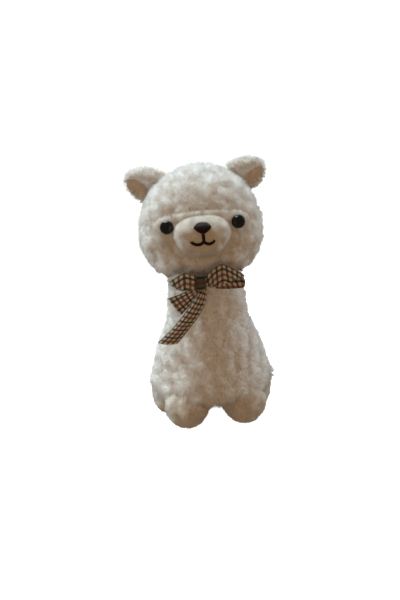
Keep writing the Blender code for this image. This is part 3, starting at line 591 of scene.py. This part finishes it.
def ear_fold(side):
    """The ear's upper edge, folded forward over the lining down to a slanting line.

    w runs from 1 at the upper edge to -0.72 + 1.65 u at the fold's lip, u being the share of the
    ear's length, and the fold stands forward by 5 mm * sin(pi v)^0.7 over the cup."""
    base, out, up, facing = ear_frame(side)
    u = np.linspace(0.1, 0.95, 30)[:, None]
    v = np.linspace(0, 1, 18)[None]
    half = 21 * MM * (1 - u**2.6) ** (1 / 1.9)
    w = 1 + (-0.72 + 1.65 * u - 1) * v
    cup = -12 * MM * half / (21 * MM) * np.maximum(0, 1 - w**2)
    cup = cup + 3.75 * MM * np.sqrt(np.maximum(0, 1 - w**2))
    stand = (5 * MM * np.sin(np.pi * v) ** 0.7 + 1.8 * MM * v) * np.minimum(1, half / (12 * MM))
    grid = (
        base + out * (39 * MM * u)[..., None] + up * (half * w)[..., None]
        + facing * (cup + stand)[..., None]
    )
    uv = np.stack(np.broadcast_arrays(u, v), axis=-1)
    points, faces, uvs = shell(grid, 2.2 * MM, uv)
    fold = mesh_of(f"ear_fold_{'left' if side < 0 else 'right'}", points, faces, uvs)
    outward(fold)
    calm(fold.data, unit(read(fold.data.vertex_normals, "vector") + [0, 0, 0.9]), 1)
    return fold


def outward(made):
    """Turns all the faces of a closed mesh outwards, after its doubled points are merged."""
    bm = bmesh.new()
    bm.from_mesh(made.data)
    bmesh.ops.remove_doubles(bm, verts=bm.verts, dist=1e-6)
    bmesh.ops.recalc_face_normals(bm, faces=bm.faces)
    bm.to_mesh(made.data)
    bm.free()
    made.data.shade_smooth()


def make_fur():
    """The stuffed skins in their backing, and the pile or nap that stands on each."""
    pile = fibre_material("brushed_polyester_pile", "DFD6C6", "FDFBF8", "EDE4D6", 40)
    # The nap is a little darker than the pile: painted shade on the face, muzzle and legs, which
    # turn away from the lamps
    nap = fibre_material("short_polyester_nap", "D5C9B7", "F5EFE5", "E3D7C5", 60)
    lining_nap = fibre_material("tan_brushed_lining", "EDD8BF", "FFF2E2", "F8E4CB", 90)
    backing = cloth_backing("knitted_backing", ("DCD2C2", "ECE4D8"))
    tan_backing = cloth_backing("tan_knitted_backing", ("E8D0B5", "F5E1C8"))

    skins = {}
    moves = {
        "muzzle": moulded, "face_panel": filled_face,
        "leg_front_left": leg_join, "leg_front_right": leg_join,
    }
    # Solid, voxel, pressure, inset, slot, backing and how tightly it is filled
    plan = (
        ("body", 4 * MM, 4, 4.4 * MM, "pile", backing, 0.9),
        ("head", 3.5 * MM, 0, 3.4 * MM, "pile", backing, 0.9),
        ("tail", 2.5 * MM, 0, 2.5 * MM, "pile", backing, 0.7),
        ("ear_left", 1.5 * MM, 0, 1 * MM, "pile", backing, 0.4),
        ("ear_right", 1.5 * MM, 0, 1 * MM, "pile", backing, 0.4),
        ("ear_lining_left", 0.8 * MM, 0, 0.2 * MM, "lining", tan_backing, 0.2),
        ("ear_lining_right", 0.8 * MM, 0, 0.2 * MM, "lining", tan_backing, 0.2),
        ("face_panel", 1.6 * MM, 0, 0.6 * MM, "velour", backing, 0.5),
        ("muzzle", 2 * MM, 0, 0.6 * MM, "velour", backing, 0.9),
        ("leg_front_left", 2.5 * MM, 4, 2.2 * MM, "velour", backing, 0.8),
        ("leg_front_right", 2.5 * MM, 4, 2.2 * MM, "velour", backing, 0.8),
        ("leg_rear_left", 3 * MM, 4, 2.2 * MM, "velour", backing, 0.8),
        ("leg_rear_right", 3 * MM, 4, 2.2 * MM, "velour", backing, 0.8),
    )
    for node, voxel, pressure, inset, slot, material, fill in plan:
        skin = stuffed(node, voxel, pressure, inset)
        if node in moves:
            set_points(skin.data, moves[node])
        skin.data.materials.append(material)
        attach(skin, "root")
        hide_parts(node)
        skins[node] = skin

    def hood(places, normals):
        """The head's pile: none under the face panel, at the neck or in the eyes' pockets, shorter
        near the eyes and under the chin, combed forward in a fringe at the brow."""
        edge = in_face(places)
        front = places[:, 1] < -15 * MM
        hidden = (edge < 0.9) & front
        neck = np.hypot(places[:, 0], places[:, 1] + 15 * MM) < 38 * MM
        hidden |= (places[:, 2] < 170 * MM) & neck
        inside_pocket = (near_eye(places) < 9 * MM) & (np.abs(normals[:, 1]) < 0.5)
        hidden |= inside_pocket & (places[:, 1] < -40 * MM) & (places[:, 1] > -66 * MM)
        near_face = np.clip((near_eye(places) - 9 * MM) / (8 * MM), 0.65, 1)
        length = 6.2 * MM * np.where(front, near_face, 1)
        length = length * np.where(places[:, 2] < 172 * MM, 0.55, 1)
        brow = np.exp(-((edge - 1) ** 2) * 2) * front * (places[:, 2] > 220 * MM)
        length = length * (1 + 0.75 * brow)
        crest = np.linalg.norm(places - CROWN_TUFT, axis=1) / (13 * MM)
        length = length + 3.5 * MM * np.exp(-(crest**2))
        comb = np.stack([0 * brow, -0.1 - 0.6 * brow, -1 - 0.9 * brow], axis=1)
        return ~hidden, length, 0.5 * MM, comb, CURLY, pile, "pile"

    def coat(places, normals):
        """The body's pile: none under the knot, shorter on the belly, longer at the hem and the
        neck."""
        front = np.clip(-normals[:, 1], 0, 1)
        hidden = places[:, 2] > np.where(np.abs(places[:, 0]) > 22 * MM, 168, 160) * MM
        smooth = np.exp(-(((places[:, 0]) / (34 * MM)) ** 2)) * front * (places[:, 2] < 120 * MM)
        hem = np.clip((50 * MM - places[:, 2]) / (15 * MM), 0, 1)
        neck = np.clip((places[:, 2] - 145 * MM) / (10 * MM), 0, 1)
        length = 6.4 * MM * (1 - 0.3 * smooth + 0.8 * hem + 0.3 * neck)
        return ~hidden, length, 0.54 * MM, (0, 0.1, -1), CURLY, pile, "pile"

    pelt("head_pile", skins["head"], 1.34, hood, 1)
    pelt("body_pile", skins["body"], 1.15, coat, 2)
    pelt(
        "tail_pile", skins["tail"], 1.2,
        lambda p, n: (n[:, 1] > -2, 6 * MM, 0.7 * MM, (0, 0.2, -1), CURLY, pile, "pile"), 3,
    )
    for side in ("left", "right"):
        out = -1 if side == "left" else 1
        pelt(
            f"ear_pile_{side}", skins[f"ear_{side}"], 1.8,
            lambda p, n: (
                far_from(p, f"ear_lining_{side}", 3 * MM), 4.6 * MM, 0.5 * MM, (out, 0, -0.2),
                EAR_CURLY, pile, "pile",
            ), 4,
        )
        fold = link(ear_fold(out), backing)
        pelt(
            f"ear_fold_pile_{side}", fold, 2.2,
            lambda p, n: (
                n[:, 1] < 0.3, 3.8 * MM, 0.48 * MM, (out * 0.6, 0, -0.5), EAR_CURLY, pile, "pile",
            ), 9,
        )
        pelt(
            f"ear_lining_nap_{side}", skins[f"ear_lining_{side}"], 2.5,
            lambda p, n: (
                n[:, 1] < 0, 1.8 * MM, 0.35 * MM, (out, 0, 0.4), SHORT, lining_nap, "lining",
            ), 5,
        )
        for end in ("front", "rear"):
            pelt(
                f"leg_{end}_nap_{side}", skins[f"leg_{end}_{side}"], 1.5,
                lambda p, n: (
                    p[:, 2] > 0.6 * MM, 2.4 * MM + 3.6 * MM * np.clip(p[:, 2] / (36 * MM), 0, 1),
                    0.5 * MM, (0, 0, -1), CURLY, nap, "velour",
                ), 6,
            )
    pelt(
        "face_nap", skins["face_panel"], 3,
        lambda p, n: (
            (n[:, 1] < 0) & (near_eye(p) > EYE_RADIUS - 0.2 * MM),
            1.9 * MM + 2.6 * MM * np.clip((in_face(p) - 0.5) / 0.5, 0, 1),
            0.38 * MM, (0, 0, -0.7), SHORT, nap, "velour",
        ), 7,
    )
    pelt(
        "muzzle_nap", skins["muzzle"], 3.2,
        lambda p, n: (
            n[:, 1] < 0.6, 1.8 * MM + 2.4 * MM * np.clip((200 * MM - p[:, 2]) / (12 * MM), 0, 1),
            0.36 * MM, (0, 0.2, -0.8), SHORT, nap, "velour",
        ), 8,
    )


def moulded(points):
    """The muzzle's soft shape: x narrows towards the chin, more on the right, and its cheek below
    the left eye is pressed out as a smooth bump, 4.4 mm * exp(-r^2)."""
    out = points.copy()
    down = np.clip((MUZZLE_CENTRE[2] + 2 * MM - points[..., 2]) / MUZZLE_HALF[2], 0, 1)
    front = np.clip((MUZZLE_CENTRE[1] + 8 * MM - points[..., 1]) / (8 * MM), 0, 1)
    right = points[..., 0] > 0
    out[..., 0] = points[..., 0] * np.where(right, 0.95 - 0.3 * down**1.2, 1 - 0.14 * down**1.4)
    r2 = ((points[..., 0] + 18 * MM) / (9 * MM)) ** 2
    r2 = r2 + ((points[..., 2] - 210 * MM) / (8 * MM)) ** 2
    bump = 4.4 * MM * np.exp(-r2) * front
    out[..., 1] -= bump
    out[..., 0] -= bump * 0.4
    out[..., 2] += bump * 0.3
    return out


def filled_face(points):
    """The face panel pressed forward where it meets the muzzle, by 4 mm at the muzzle's edge, or 8
    above and on the right, and less further out, but not under the eyes. Its rim goes 3 mm back
    under the hood's pile."""
    x = np.abs(points[:, 0]) / MUZZLE_HALF[0]
    z = np.abs(points[:, 2] - MUZZLE_CENTRE[2]) / MUZZLE_HALF[2]
    edge = (x**MUZZLE_SQUARENESS + z**MUZZLE_SQUARENESS) ** (1 / MUZZLE_SQUARENESS)
    t = np.clip((1.6 - edge) / 0.6, 0, 1)
    free = np.clip((near_eye(points) - 8 * MM) / (6 * MM), 0, 1)
    free = free * np.clip((0.98 - in_face(points)) / 0.3, 0, 1)
    out = points.copy()
    above = points[:, 2] > MUZZLE_CENTRE[2] + 8 * MM
    press = np.where(above | (points[:, 0] > 12 * MM), 8 * MM, 4 * MM)
    out[:, 1] -= press * t * t * (3 - 2 * t) * free * (points[:, 1] < -58 * MM)
    rim = np.clip((in_face(points) - 0.7) / 0.3, 0, 1)
    rim *= np.clip((near_eye(points) - 8 * MM) / (4 * MM), 0, 1)
    out[:, 1] += 3 * MM * rim
    return out


def leg_join(points):
    """The top of a front leg drawn in to the belly that it is sewn to, by up to 11 mm."""
    t = np.clip((points[:, 2] - 18 * MM) / (22 * MM), 0, 1)[:, None] ** 1.5
    out = points.copy()
    out[:, :2] += t * np.stack([-np.sign(points[:, 0]) * 7, np.full(len(points), 8)], axis=1) * MM
    return out


def muzzle_front(x, z):
    """The y of the muzzle's front: its middle less its depth times (1 - |x|^p - |z|^p)^(1/p)."""
    used = np.abs((x - MUZZLE_CENTRE[0]) / MUZZLE_HALF[0]) ** MUZZLE_SQUARENESS
    used = used + np.abs((z - MUZZLE_CENTRE[2]) / MUZZLE_HALF[2]) ** MUZZLE_SQUARENESS
    return MUZZLE_CENTRE[1] - MUZZLE_HALF[1] * np.maximum(0, 1 - used) ** (1 / MUZZLE_SQUARENESS)


def thread_material():
    """Brown rayon embroidery thread in satin stitch: dark, with a silky gleam along the thread."""
    made, tree, shader = surface("brown_rayon_thread", Roughness=0.5)
    shader.inputs["Specular IOR Level"].default_value = 0.25
    uv = add(tree, "ShaderNodeUVMap", uv_map="fibre")
    split = add(tree, "ShaderNodeSeparateXYZ", {"Vector": uv.outputs["UV"]})
    tone = add(tree, "ShaderNodeValToRGB", {"Fac": split.outputs["Y"]})
    tone.color_ramp.elements[0].color = linear("1D0D09")
    tone.color_ramp.elements[1].color = linear("321A13")
    tree.links.new(tone.outputs["Color"], shader.inputs["Base Color"])
    return made


def threads(name, starts, ends, bulge, radius, material, seed):
    """Satin stitches side by side, each a round thread from its start to its end.

    point(s) = start + s (end - start), raised off the muzzle by bulge * (1 - (2s-1)^4)."""
    rng = np.random.default_rng(seed)
    count, steps, sides = len(starts), 9, 6
    s = np.linspace(0, 1, steps)
    flat = starts[:, None] + s[None, :, None] * (ends - starts)[:, None]
    rise = bulge * (1 - (2 * s - 1) ** 4)[None] * (0.9 + 0.2 * rng.random(count))[:, None]
    y = muzzle_front(flat[..., 0], flat[..., 1]) - rise
    middle = moulded(np.stack([flat[..., 0], y, flat[..., 1]], axis=-1))
    middle[..., 0] += STITCH_SHIFT
    along = unit(np.gradient(middle, axis=1))
    side = unit(np.cross(along, np.array([0.0, -1, 0])))
    out = np.cross(side, along)
    angles = np.arange(sides) * 2 * np.pi / sides
    taper = radius * np.where((s == 0) | (s == 1), 0.5, 1)[None, :, None, None]
    ring = (
        side[:, :, None] * np.cos(angles)[None, None, :, None]
        + out[:, :, None] * np.sin(angles)[None, None, :, None]
    )
    points = (middle[:, :, None] + ring * taper).reshape(-1, 3)
    index = np.arange(count * steps * sides).reshape(count, steps, sides)
    nxt = np.roll(index, -1, axis=2)
    sides_faces = np.stack(
        [index[:, :-1], nxt[:, :-1], nxt[:, 1:], index[:, 1:]], axis=-1
    ).reshape(-1, 4)
    caps = []
    for row, order in ((index[:, 0], (0, 3, 2, 1)), (index[:, -1], (0, 1, 2, 3))):
        caps.append(row[:, order])
        caps.append(row[:, [0, 3, 4, 5]] if order[1] == 1 else row[:, [0, 5, 4, 3]])
    faces = np.concatenate([sides_faces, *caps])
    uv = np.stack(
        [np.tile(np.repeat(s, sides), count), np.repeat(rng.random(count), steps * sides)], axis=1
    )
    return link(mesh_of(name, points, faces, uv), material)


def make_stitching():
    """The nose and the mouth in satin stitch."""
    thread = thread_material()
    # Nose: upright stitches 0.42 mm apart, from a round-cornered top edge to a blunt point
    half = NOSE_SIZE[0] / 2
    middle = MUZZLE_CENTRE[2] + NOSE_HEIGHT_ABOVE
    x = np.arange(-half + 0.3 * MM, half - 0.2 * MM, 0.42 * MM)
    across = x / half
    top = middle + NOSE_SIZE[1] / 2 * np.maximum(0.02, 1 - np.abs(across) ** 2.6) ** 0.6
    blunt = np.maximum(0, 1 - np.abs(across) ** 1.5) ** 0.8
    low = middle + 1 * MM - (NOSE_SIZE[1] / 2 + 1 * MM) * blunt
    nose = threads(
        "nose_stitches", np.stack([x, top], 1), np.stack([x, low], 1), 2.4 * MM, 0.33 * MM,
        thread, 5,
    )
    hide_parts("nose")
    # Mouth: short stitches laid across a line that runs down the stem and out along each hook
    stem_top = middle - NOSE_SIZE[1] / 2 - 0.3 * MM
    fork = stem_top - MOUTH_STEM
    stem = np.stack([np.zeros(16), np.linspace(stem_top, fork, 16)], 1)
    lines = [stem]
    for side in (-1, 1):
        angle = np.pi * (1 - np.linspace(0.03, 0.92, 44))
        reach = MOUTH_WIDTH / 4
        lines.append(
            np.stack([side * reach * (1 + np.cos(angle)), fork - MOUTH_DROP * np.sin(angle)], 1)
        )
    starts, ends = [], []
    for line in lines:
        along = unit(np.gradient(line, axis=0))
        across = np.stack([-along[:, 1], along[:, 0]], axis=1) * THREAD_LINE / 2
        slant = along * 0.5 * MM
        starts.append(line - across - slant)
        ends.append(line + across + slant)
    mouth = threads(
        "mouth_stitches", np.concatenate(starts), np.concatenate(ends), 1.3 * MM, 0.3 * MM,
        thread, 6,
    )
    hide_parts("mouth")


def hazed(tree, shader, scale, dark, light):
    """A moulded plastic's faint unevenness: its colour drifts between two tones."""
    place = add(tree, "ShaderNodeTexCoord")
    haze = add(tree, "ShaderNodeTexNoise", {"Vector": place.outputs["Object"], "Scale": scale})
    tone = add(tree, "ShaderNodeValToRGB", {"Fac": haze.outputs["Fac"]})
    tone.color_ramp.elements[0].color = linear(dark)
    tone.color_ramp.elements[1].color = linear(light)
    tree.links.new(tone.outputs["Color"], shader.inputs["Base Color"])


def make_eyes():
    """Moulded black eyes: glossy acrylic, black with a faint blue haze, and a small highlight."""
    made, tree, shader = surface("glossy_black_acrylic", Roughness=0.06)
    shader.inputs["IOR"].default_value = 1.49
    shader.inputs["Specular IOR Level"].default_value = 0.55
    hazed(tree, shader, 300, "050608", "0C0E13")
    washer, tree, shader = surface("white_polyethylene", Roughness=0.45)
    hazed(tree, shader, 500, "DCDCD6", "EBEBE6")
    for name, finish in (("eye", made), ("eye_washer", washer)):
        for side in ("left", "right"):
            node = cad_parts[f"{name}_{side}"]
            node.data.materials.clear()
            node.data.materials.append(finish)


def ribbon_material():
    """Woven polyester check on cream: brown and dark green stripes both ways, on threads 0.35 mm
    apart, with a dark line inside each selvedge. UV is in millimetres along and across."""
    made, tree, shader = surface("woven_check_ribbon", Roughness=0.55)
    shader.inputs["Sheen Weight"].default_value = 0.2
    shader.inputs["Specular IOR Level"].default_value = 0.4
    uv = add(tree, "ShaderNodeUVMap", uv_map="weave")
    split = add(tree, "ShaderNodeSeparateXYZ", {"Vector": uv.outputs["UV"]})
    pitch = CHECK_PITCH / MM

    def wave(socket, wide, offset):
        """1 in a stripe of this width in mm, once in each pitch, and 0 between."""
        moved = add(tree, "ShaderNodeMath", {0: socket, 1: offset}, operation="ADD")
        fold = add(tree, "ShaderNodeMath", {0: moved.outputs[0], 1: pitch}, operation="PINGPONG")
        inside = add(
            tree, "ShaderNodeMapRange",
            {"Value": fold.outputs[0], "From Min": wide / 2 + 0.12, "From Max": wide / 2 - 0.12},
        )
        return inside.outputs["Result"]

    colour = add(tree, "ShaderNodeRGB")
    colour.outputs[0].default_value = linear("DCCDB6")
    base = colour.outputs[0]
    for axis in ("X", "Y"):
        for wide, offset, tint, amount in (
            (2.6, 0, "6A3426", 0.75),
            (2.3, pitch, "1A1E1A", 0.85),
        ):
            stripe = wave(split.outputs[axis], wide, offset)
            part = add(tree, "ShaderNodeMath", {0: stripe, 1: amount}, operation="MULTIPLY")
            mixed = add(
                tree, "ShaderNodeMix", {0: part.outputs[0], 6: base, 7: linear(tint)},
                data_type="RGBA", blend_type="MIX",
            )
            base = mixed.outputs[2]
    edge = add(tree, "ShaderNodeMath", {0: split.outputs["Y"]}, operation="ABSOLUTE")
    line = add(
        tree, "ShaderNodeMapRange",
        {"Value": edge.outputs[0], "From Min": 9.3, "From Max": 9.6, "To Max": 0.8},
    )
    dark = add(
        tree, "ShaderNodeMix", {0: line.outputs["Result"], 6: base, 7: linear("1E1A18")},
        data_type="RGBA", blend_type="MIX",
    )
    selvedge = add(
        tree, "ShaderNodeMapRange",
        {"Value": edge.outputs[0], "From Min": 10.4, "From Max": 10.6, "To Max": 0.9},
    )
    pale = add(
        tree, "ShaderNodeMix",
        {0: selvedge.outputs["Result"], 6: dark.outputs[2], 7: linear("C9B48F")},
        data_type="RGBA", blend_type="MIX",
    )
    tree.links.new(pale.outputs[2], shader.inputs["Base Color"])
    # The weave is drawn at 0.7 mm so that it shows
    warp = add(tree, "ShaderNodeMath", {0: split.outputs["X"], 1: 9.0}, operation="MULTIPLY")
    weft = add(tree, "ShaderNodeMath", {0: split.outputs["Y"], 1: 9.0}, operation="MULTIPLY")
    one = add(tree, "ShaderNodeMath", {0: warp.outputs[0]}, operation="SINE")
    two = add(tree, "ShaderNodeMath", {0: weft.outputs[0]}, operation="SINE")
    weave = add(
        tree, "ShaderNodeMath", {0: one.outputs[0], 1: two.outputs[0]}, operation="MULTIPLY"
    )
    bump = add(
        tree, "ShaderNodeBump",
        {"Height": weave.outputs[0], "Strength": 0.35, "Distance": 0.15 * MM},
    )
    tree.links.new(bump.outputs["Normal"], shader.inputs["Normal"])
    return made


def band(upper, lower, roll, pinch):
    """A strip between two edge curves, each through a few places in mm: point(t, v) =
    (1 - v) / 2 * upper(t) + (1 + v) / 2 * lower(t), v from -1 to 1, rolled outwards by
    roll * (1 - v^2) and pleated where it leaves the knot. Where a loop is narrow, the rest of its
    width is folded under and takes its stripes with it."""
    count = 91
    upper, lower = through(upper, count) * MM, through(lower, count) * MM
    v = np.linspace(-1, 1, 25)[None, :, None]
    grid = upper[:, None] * (1 - v) / 2 + lower[:, None] * (1 + v) / 2
    normal = unit(np.cross(np.gradient(grid, axis=0), np.gradient(grid, axis=1)))
    t = np.linspace(0, 1, count)[:, None]
    near_knot = t if pinch == "start" else np.minimum(t, 1 - t)
    pull = np.clip(1 - 4.5 * near_knot, 0, 1)
    u = v[..., 0]
    wave = np.cos(u * np.pi * 2.5 + 0.4) * 0.6 + np.cos(u * np.pi * 4.5 + 1.1) * 0.4
    lift = roll * MM * (1 - u**2) * np.sin(np.pi * np.minimum(t * 2, 0.5)) + 1.1 * MM * pull * wave
    grid = grid + normal * lift[..., None]
    middle = (upper + lower) / 2
    length = np.concatenate([[0], np.cumsum(np.linalg.norm(np.diff(middle, axis=0), axis=1))])
    across = u * RIBBON_WIDTH / 2
    if pinch == "both":
        along = unit(np.gradient(middle, axis=0))[:, None]
        reach = grid - upper[:, None]
        reach = reach - np.sum(reach * along, axis=2, keepdims=True) * along
        across = np.linalg.norm(reach, axis=2) - RIBBON_WIDTH / 2
    uv = np.broadcast_arrays(length[:, None], across)
    return grid, np.stack(uv, axis=-1) / MM


# The upper and the lower edge of each loop, from the knot out and back behind to the knot
RIGHT_LOOP = (
    ((-4, -65, 163), (-1, -68, 165.5), (6, -71, 172.5), (15, -72, 176.8), (20, -71, 175.3),
     (30, -68, 169.2), (37, -65, 163.6), (38.2, -62.5, 162), (34, -60.5, 161.5), (20, -59, 162),
     (8, -59, 162), (-3, -60, 161)),
    ((-3, -66, 156), (1, -69, 155), (7, -72, 154.6), (14, -74, 156), (21, -74, 157.8),
     (29, -71.5, 160), (36, -67.5, 161), (38.4, -65, 155.5), (36.4, -62.5, 150), (25, -61.5, 149.6),
     (13, -61, 150.3), (-2, -61, 154)),
)
LEFT_LOOP = (
    ((-8, -65, 164), (-12, -68.5, 167.5), (-17, -71.5, 170), (-22.5, -72.5, 171.2),
     (-30, -70, 167.5), (-36.5, -65.5, 163.4), (-36, -62, 162), (-24, -59, 163), (-6, -60, 162)),
    ((-9, -66, 156), (-13, -69.5, 153.6), (-18, -72, 153), (-23, -72.5, 153.2),
     (-28, -69.5, 153.4), (-31, -66, 154.3), (-31, -62.5, 154.6), (-22, -60, 154.5),
     (-6, -61, 155)),
)
# The two edges of each end, from the knot to the cut
SHORT_END = (
    ((-8, -66, 158), (-14.6, -65.5, 154), (-27, -62, 149.4), (-40.6, -56, 144.4)),
    ((-6, -67, 152), (-11, -68, 145), (-19, -64, 136.5), (-28.5, -58, 126.8)),
)
LONG_END = (
    ((-6, -68, 155), (-14.3, -69, 143.6), (-25.7, -67, 129.1), (-37.5, -62.5, 116),
     (-47, -59, 107), (-55.5, -56, 99.8)),
    ((-1, -68, 152), (-3.4, -69, 139.6), (-11.3, -68, 125.4), (-20.5, -66, 114.6),
     (-28, -63, 105.5), (-35, -60, 98.2)),
)


def neck_turn():
    """The turn round the neck, gathered narrow: folds across its width take up the rest of it."""
    a = np.linspace(0, 2 * np.pi, 120, endpoint=False)[:, None]
    v = np.linspace(-1, 1, 25)[None]
    fold = 1.5 * MM * np.sin(v * np.pi * 3 + 0.6 * np.sin(3 * a))
    wide, deep = 37.4 * MM + fold, 33.4 * MM + fold
    lift = 4 * MM * np.maximum(0, -np.sin(a))
    grid = np.stack(
        np.broadcast_arrays(
            wide * np.cos(a), -15 * MM + deep * np.sin(a), 155 * MM + lift + 4 * MM * v
        ),
        axis=-1,
    )
    uv = np.stack(np.broadcast_arrays(a * 38, v * RIBBON_WIDTH / 2 / MM), axis=-1)
    return grid, uv


def knot_wrap():
    """A short wrap round the knot: an oval barrel with pleats that run up and down it."""
    a = np.linspace(0, 2 * np.pi, 72, endpoint=False)[:, None]
    v = np.linspace(-1, 1, 21)[None]
    barrel = np.sqrt(np.maximum(0.06, 1 - np.abs(v) ** 2.6))
    pleat = 1 + 0.06 * np.cos(v * 9 + np.sin(2 * a))
    grid = np.stack(
        np.broadcast_arrays(
            KNOT[0] + KNOT_SIZE[0] / 2 * barrel * pleat * np.cos(a),
            KNOT[1] + KNOT_SIZE[1] / 2 * barrel * pleat * np.sin(a),
            KNOT[2] + KNOT_SIZE[2] / 2 * v,
        ),
        axis=-1,
    )
    # Only the dark stripe is laid along it, crossed by the brown ones: a tight knot shows few
    # stripes, and its all-dark look is also painted shade in its folds
    uv = np.stack(np.broadcast_arrays(CHECK_PITCH / MM + 0.6 * np.sin(a * 3), v * 8.5), axis=-1)
    return grid, uv


def make_ribbon():
    """The tied ribbon: the turn, the knot, two loops and two ends as one mesh."""
    parts = [
        (*neck_turn(), True),
        (*knot_wrap(), True),
        (*band(*RIGHT_LOOP, 1, "both"), False),
        (*band(*LEFT_LOOP, 1, "both"), False),
        (*band(*SHORT_END, 1, "start"), False),
        (*band(*LONG_END, 4, "start"), False),
    ]
    points, faces, uvs, count = [], [], [], 0
    for grid, uv, closed in parts:
        p, f, u = shell(grid, RIBBON_THICKNESS, uv, closed)
        points.append(p)
        faces.append(f + count)
        uvs.append(u)
        count += len(p)
    ribbon = mesh_of(
        "ribbon_bow", np.concatenate(points), np.concatenate(faces), np.concatenate(uvs), "weave"
    )
    outward(ribbon)
    link(ribbon, ribbon_material())
    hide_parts("ribbon")


make_stage()
make_camera()
make_fur()
make_stitching()
make_eyes()
make_ribbon()
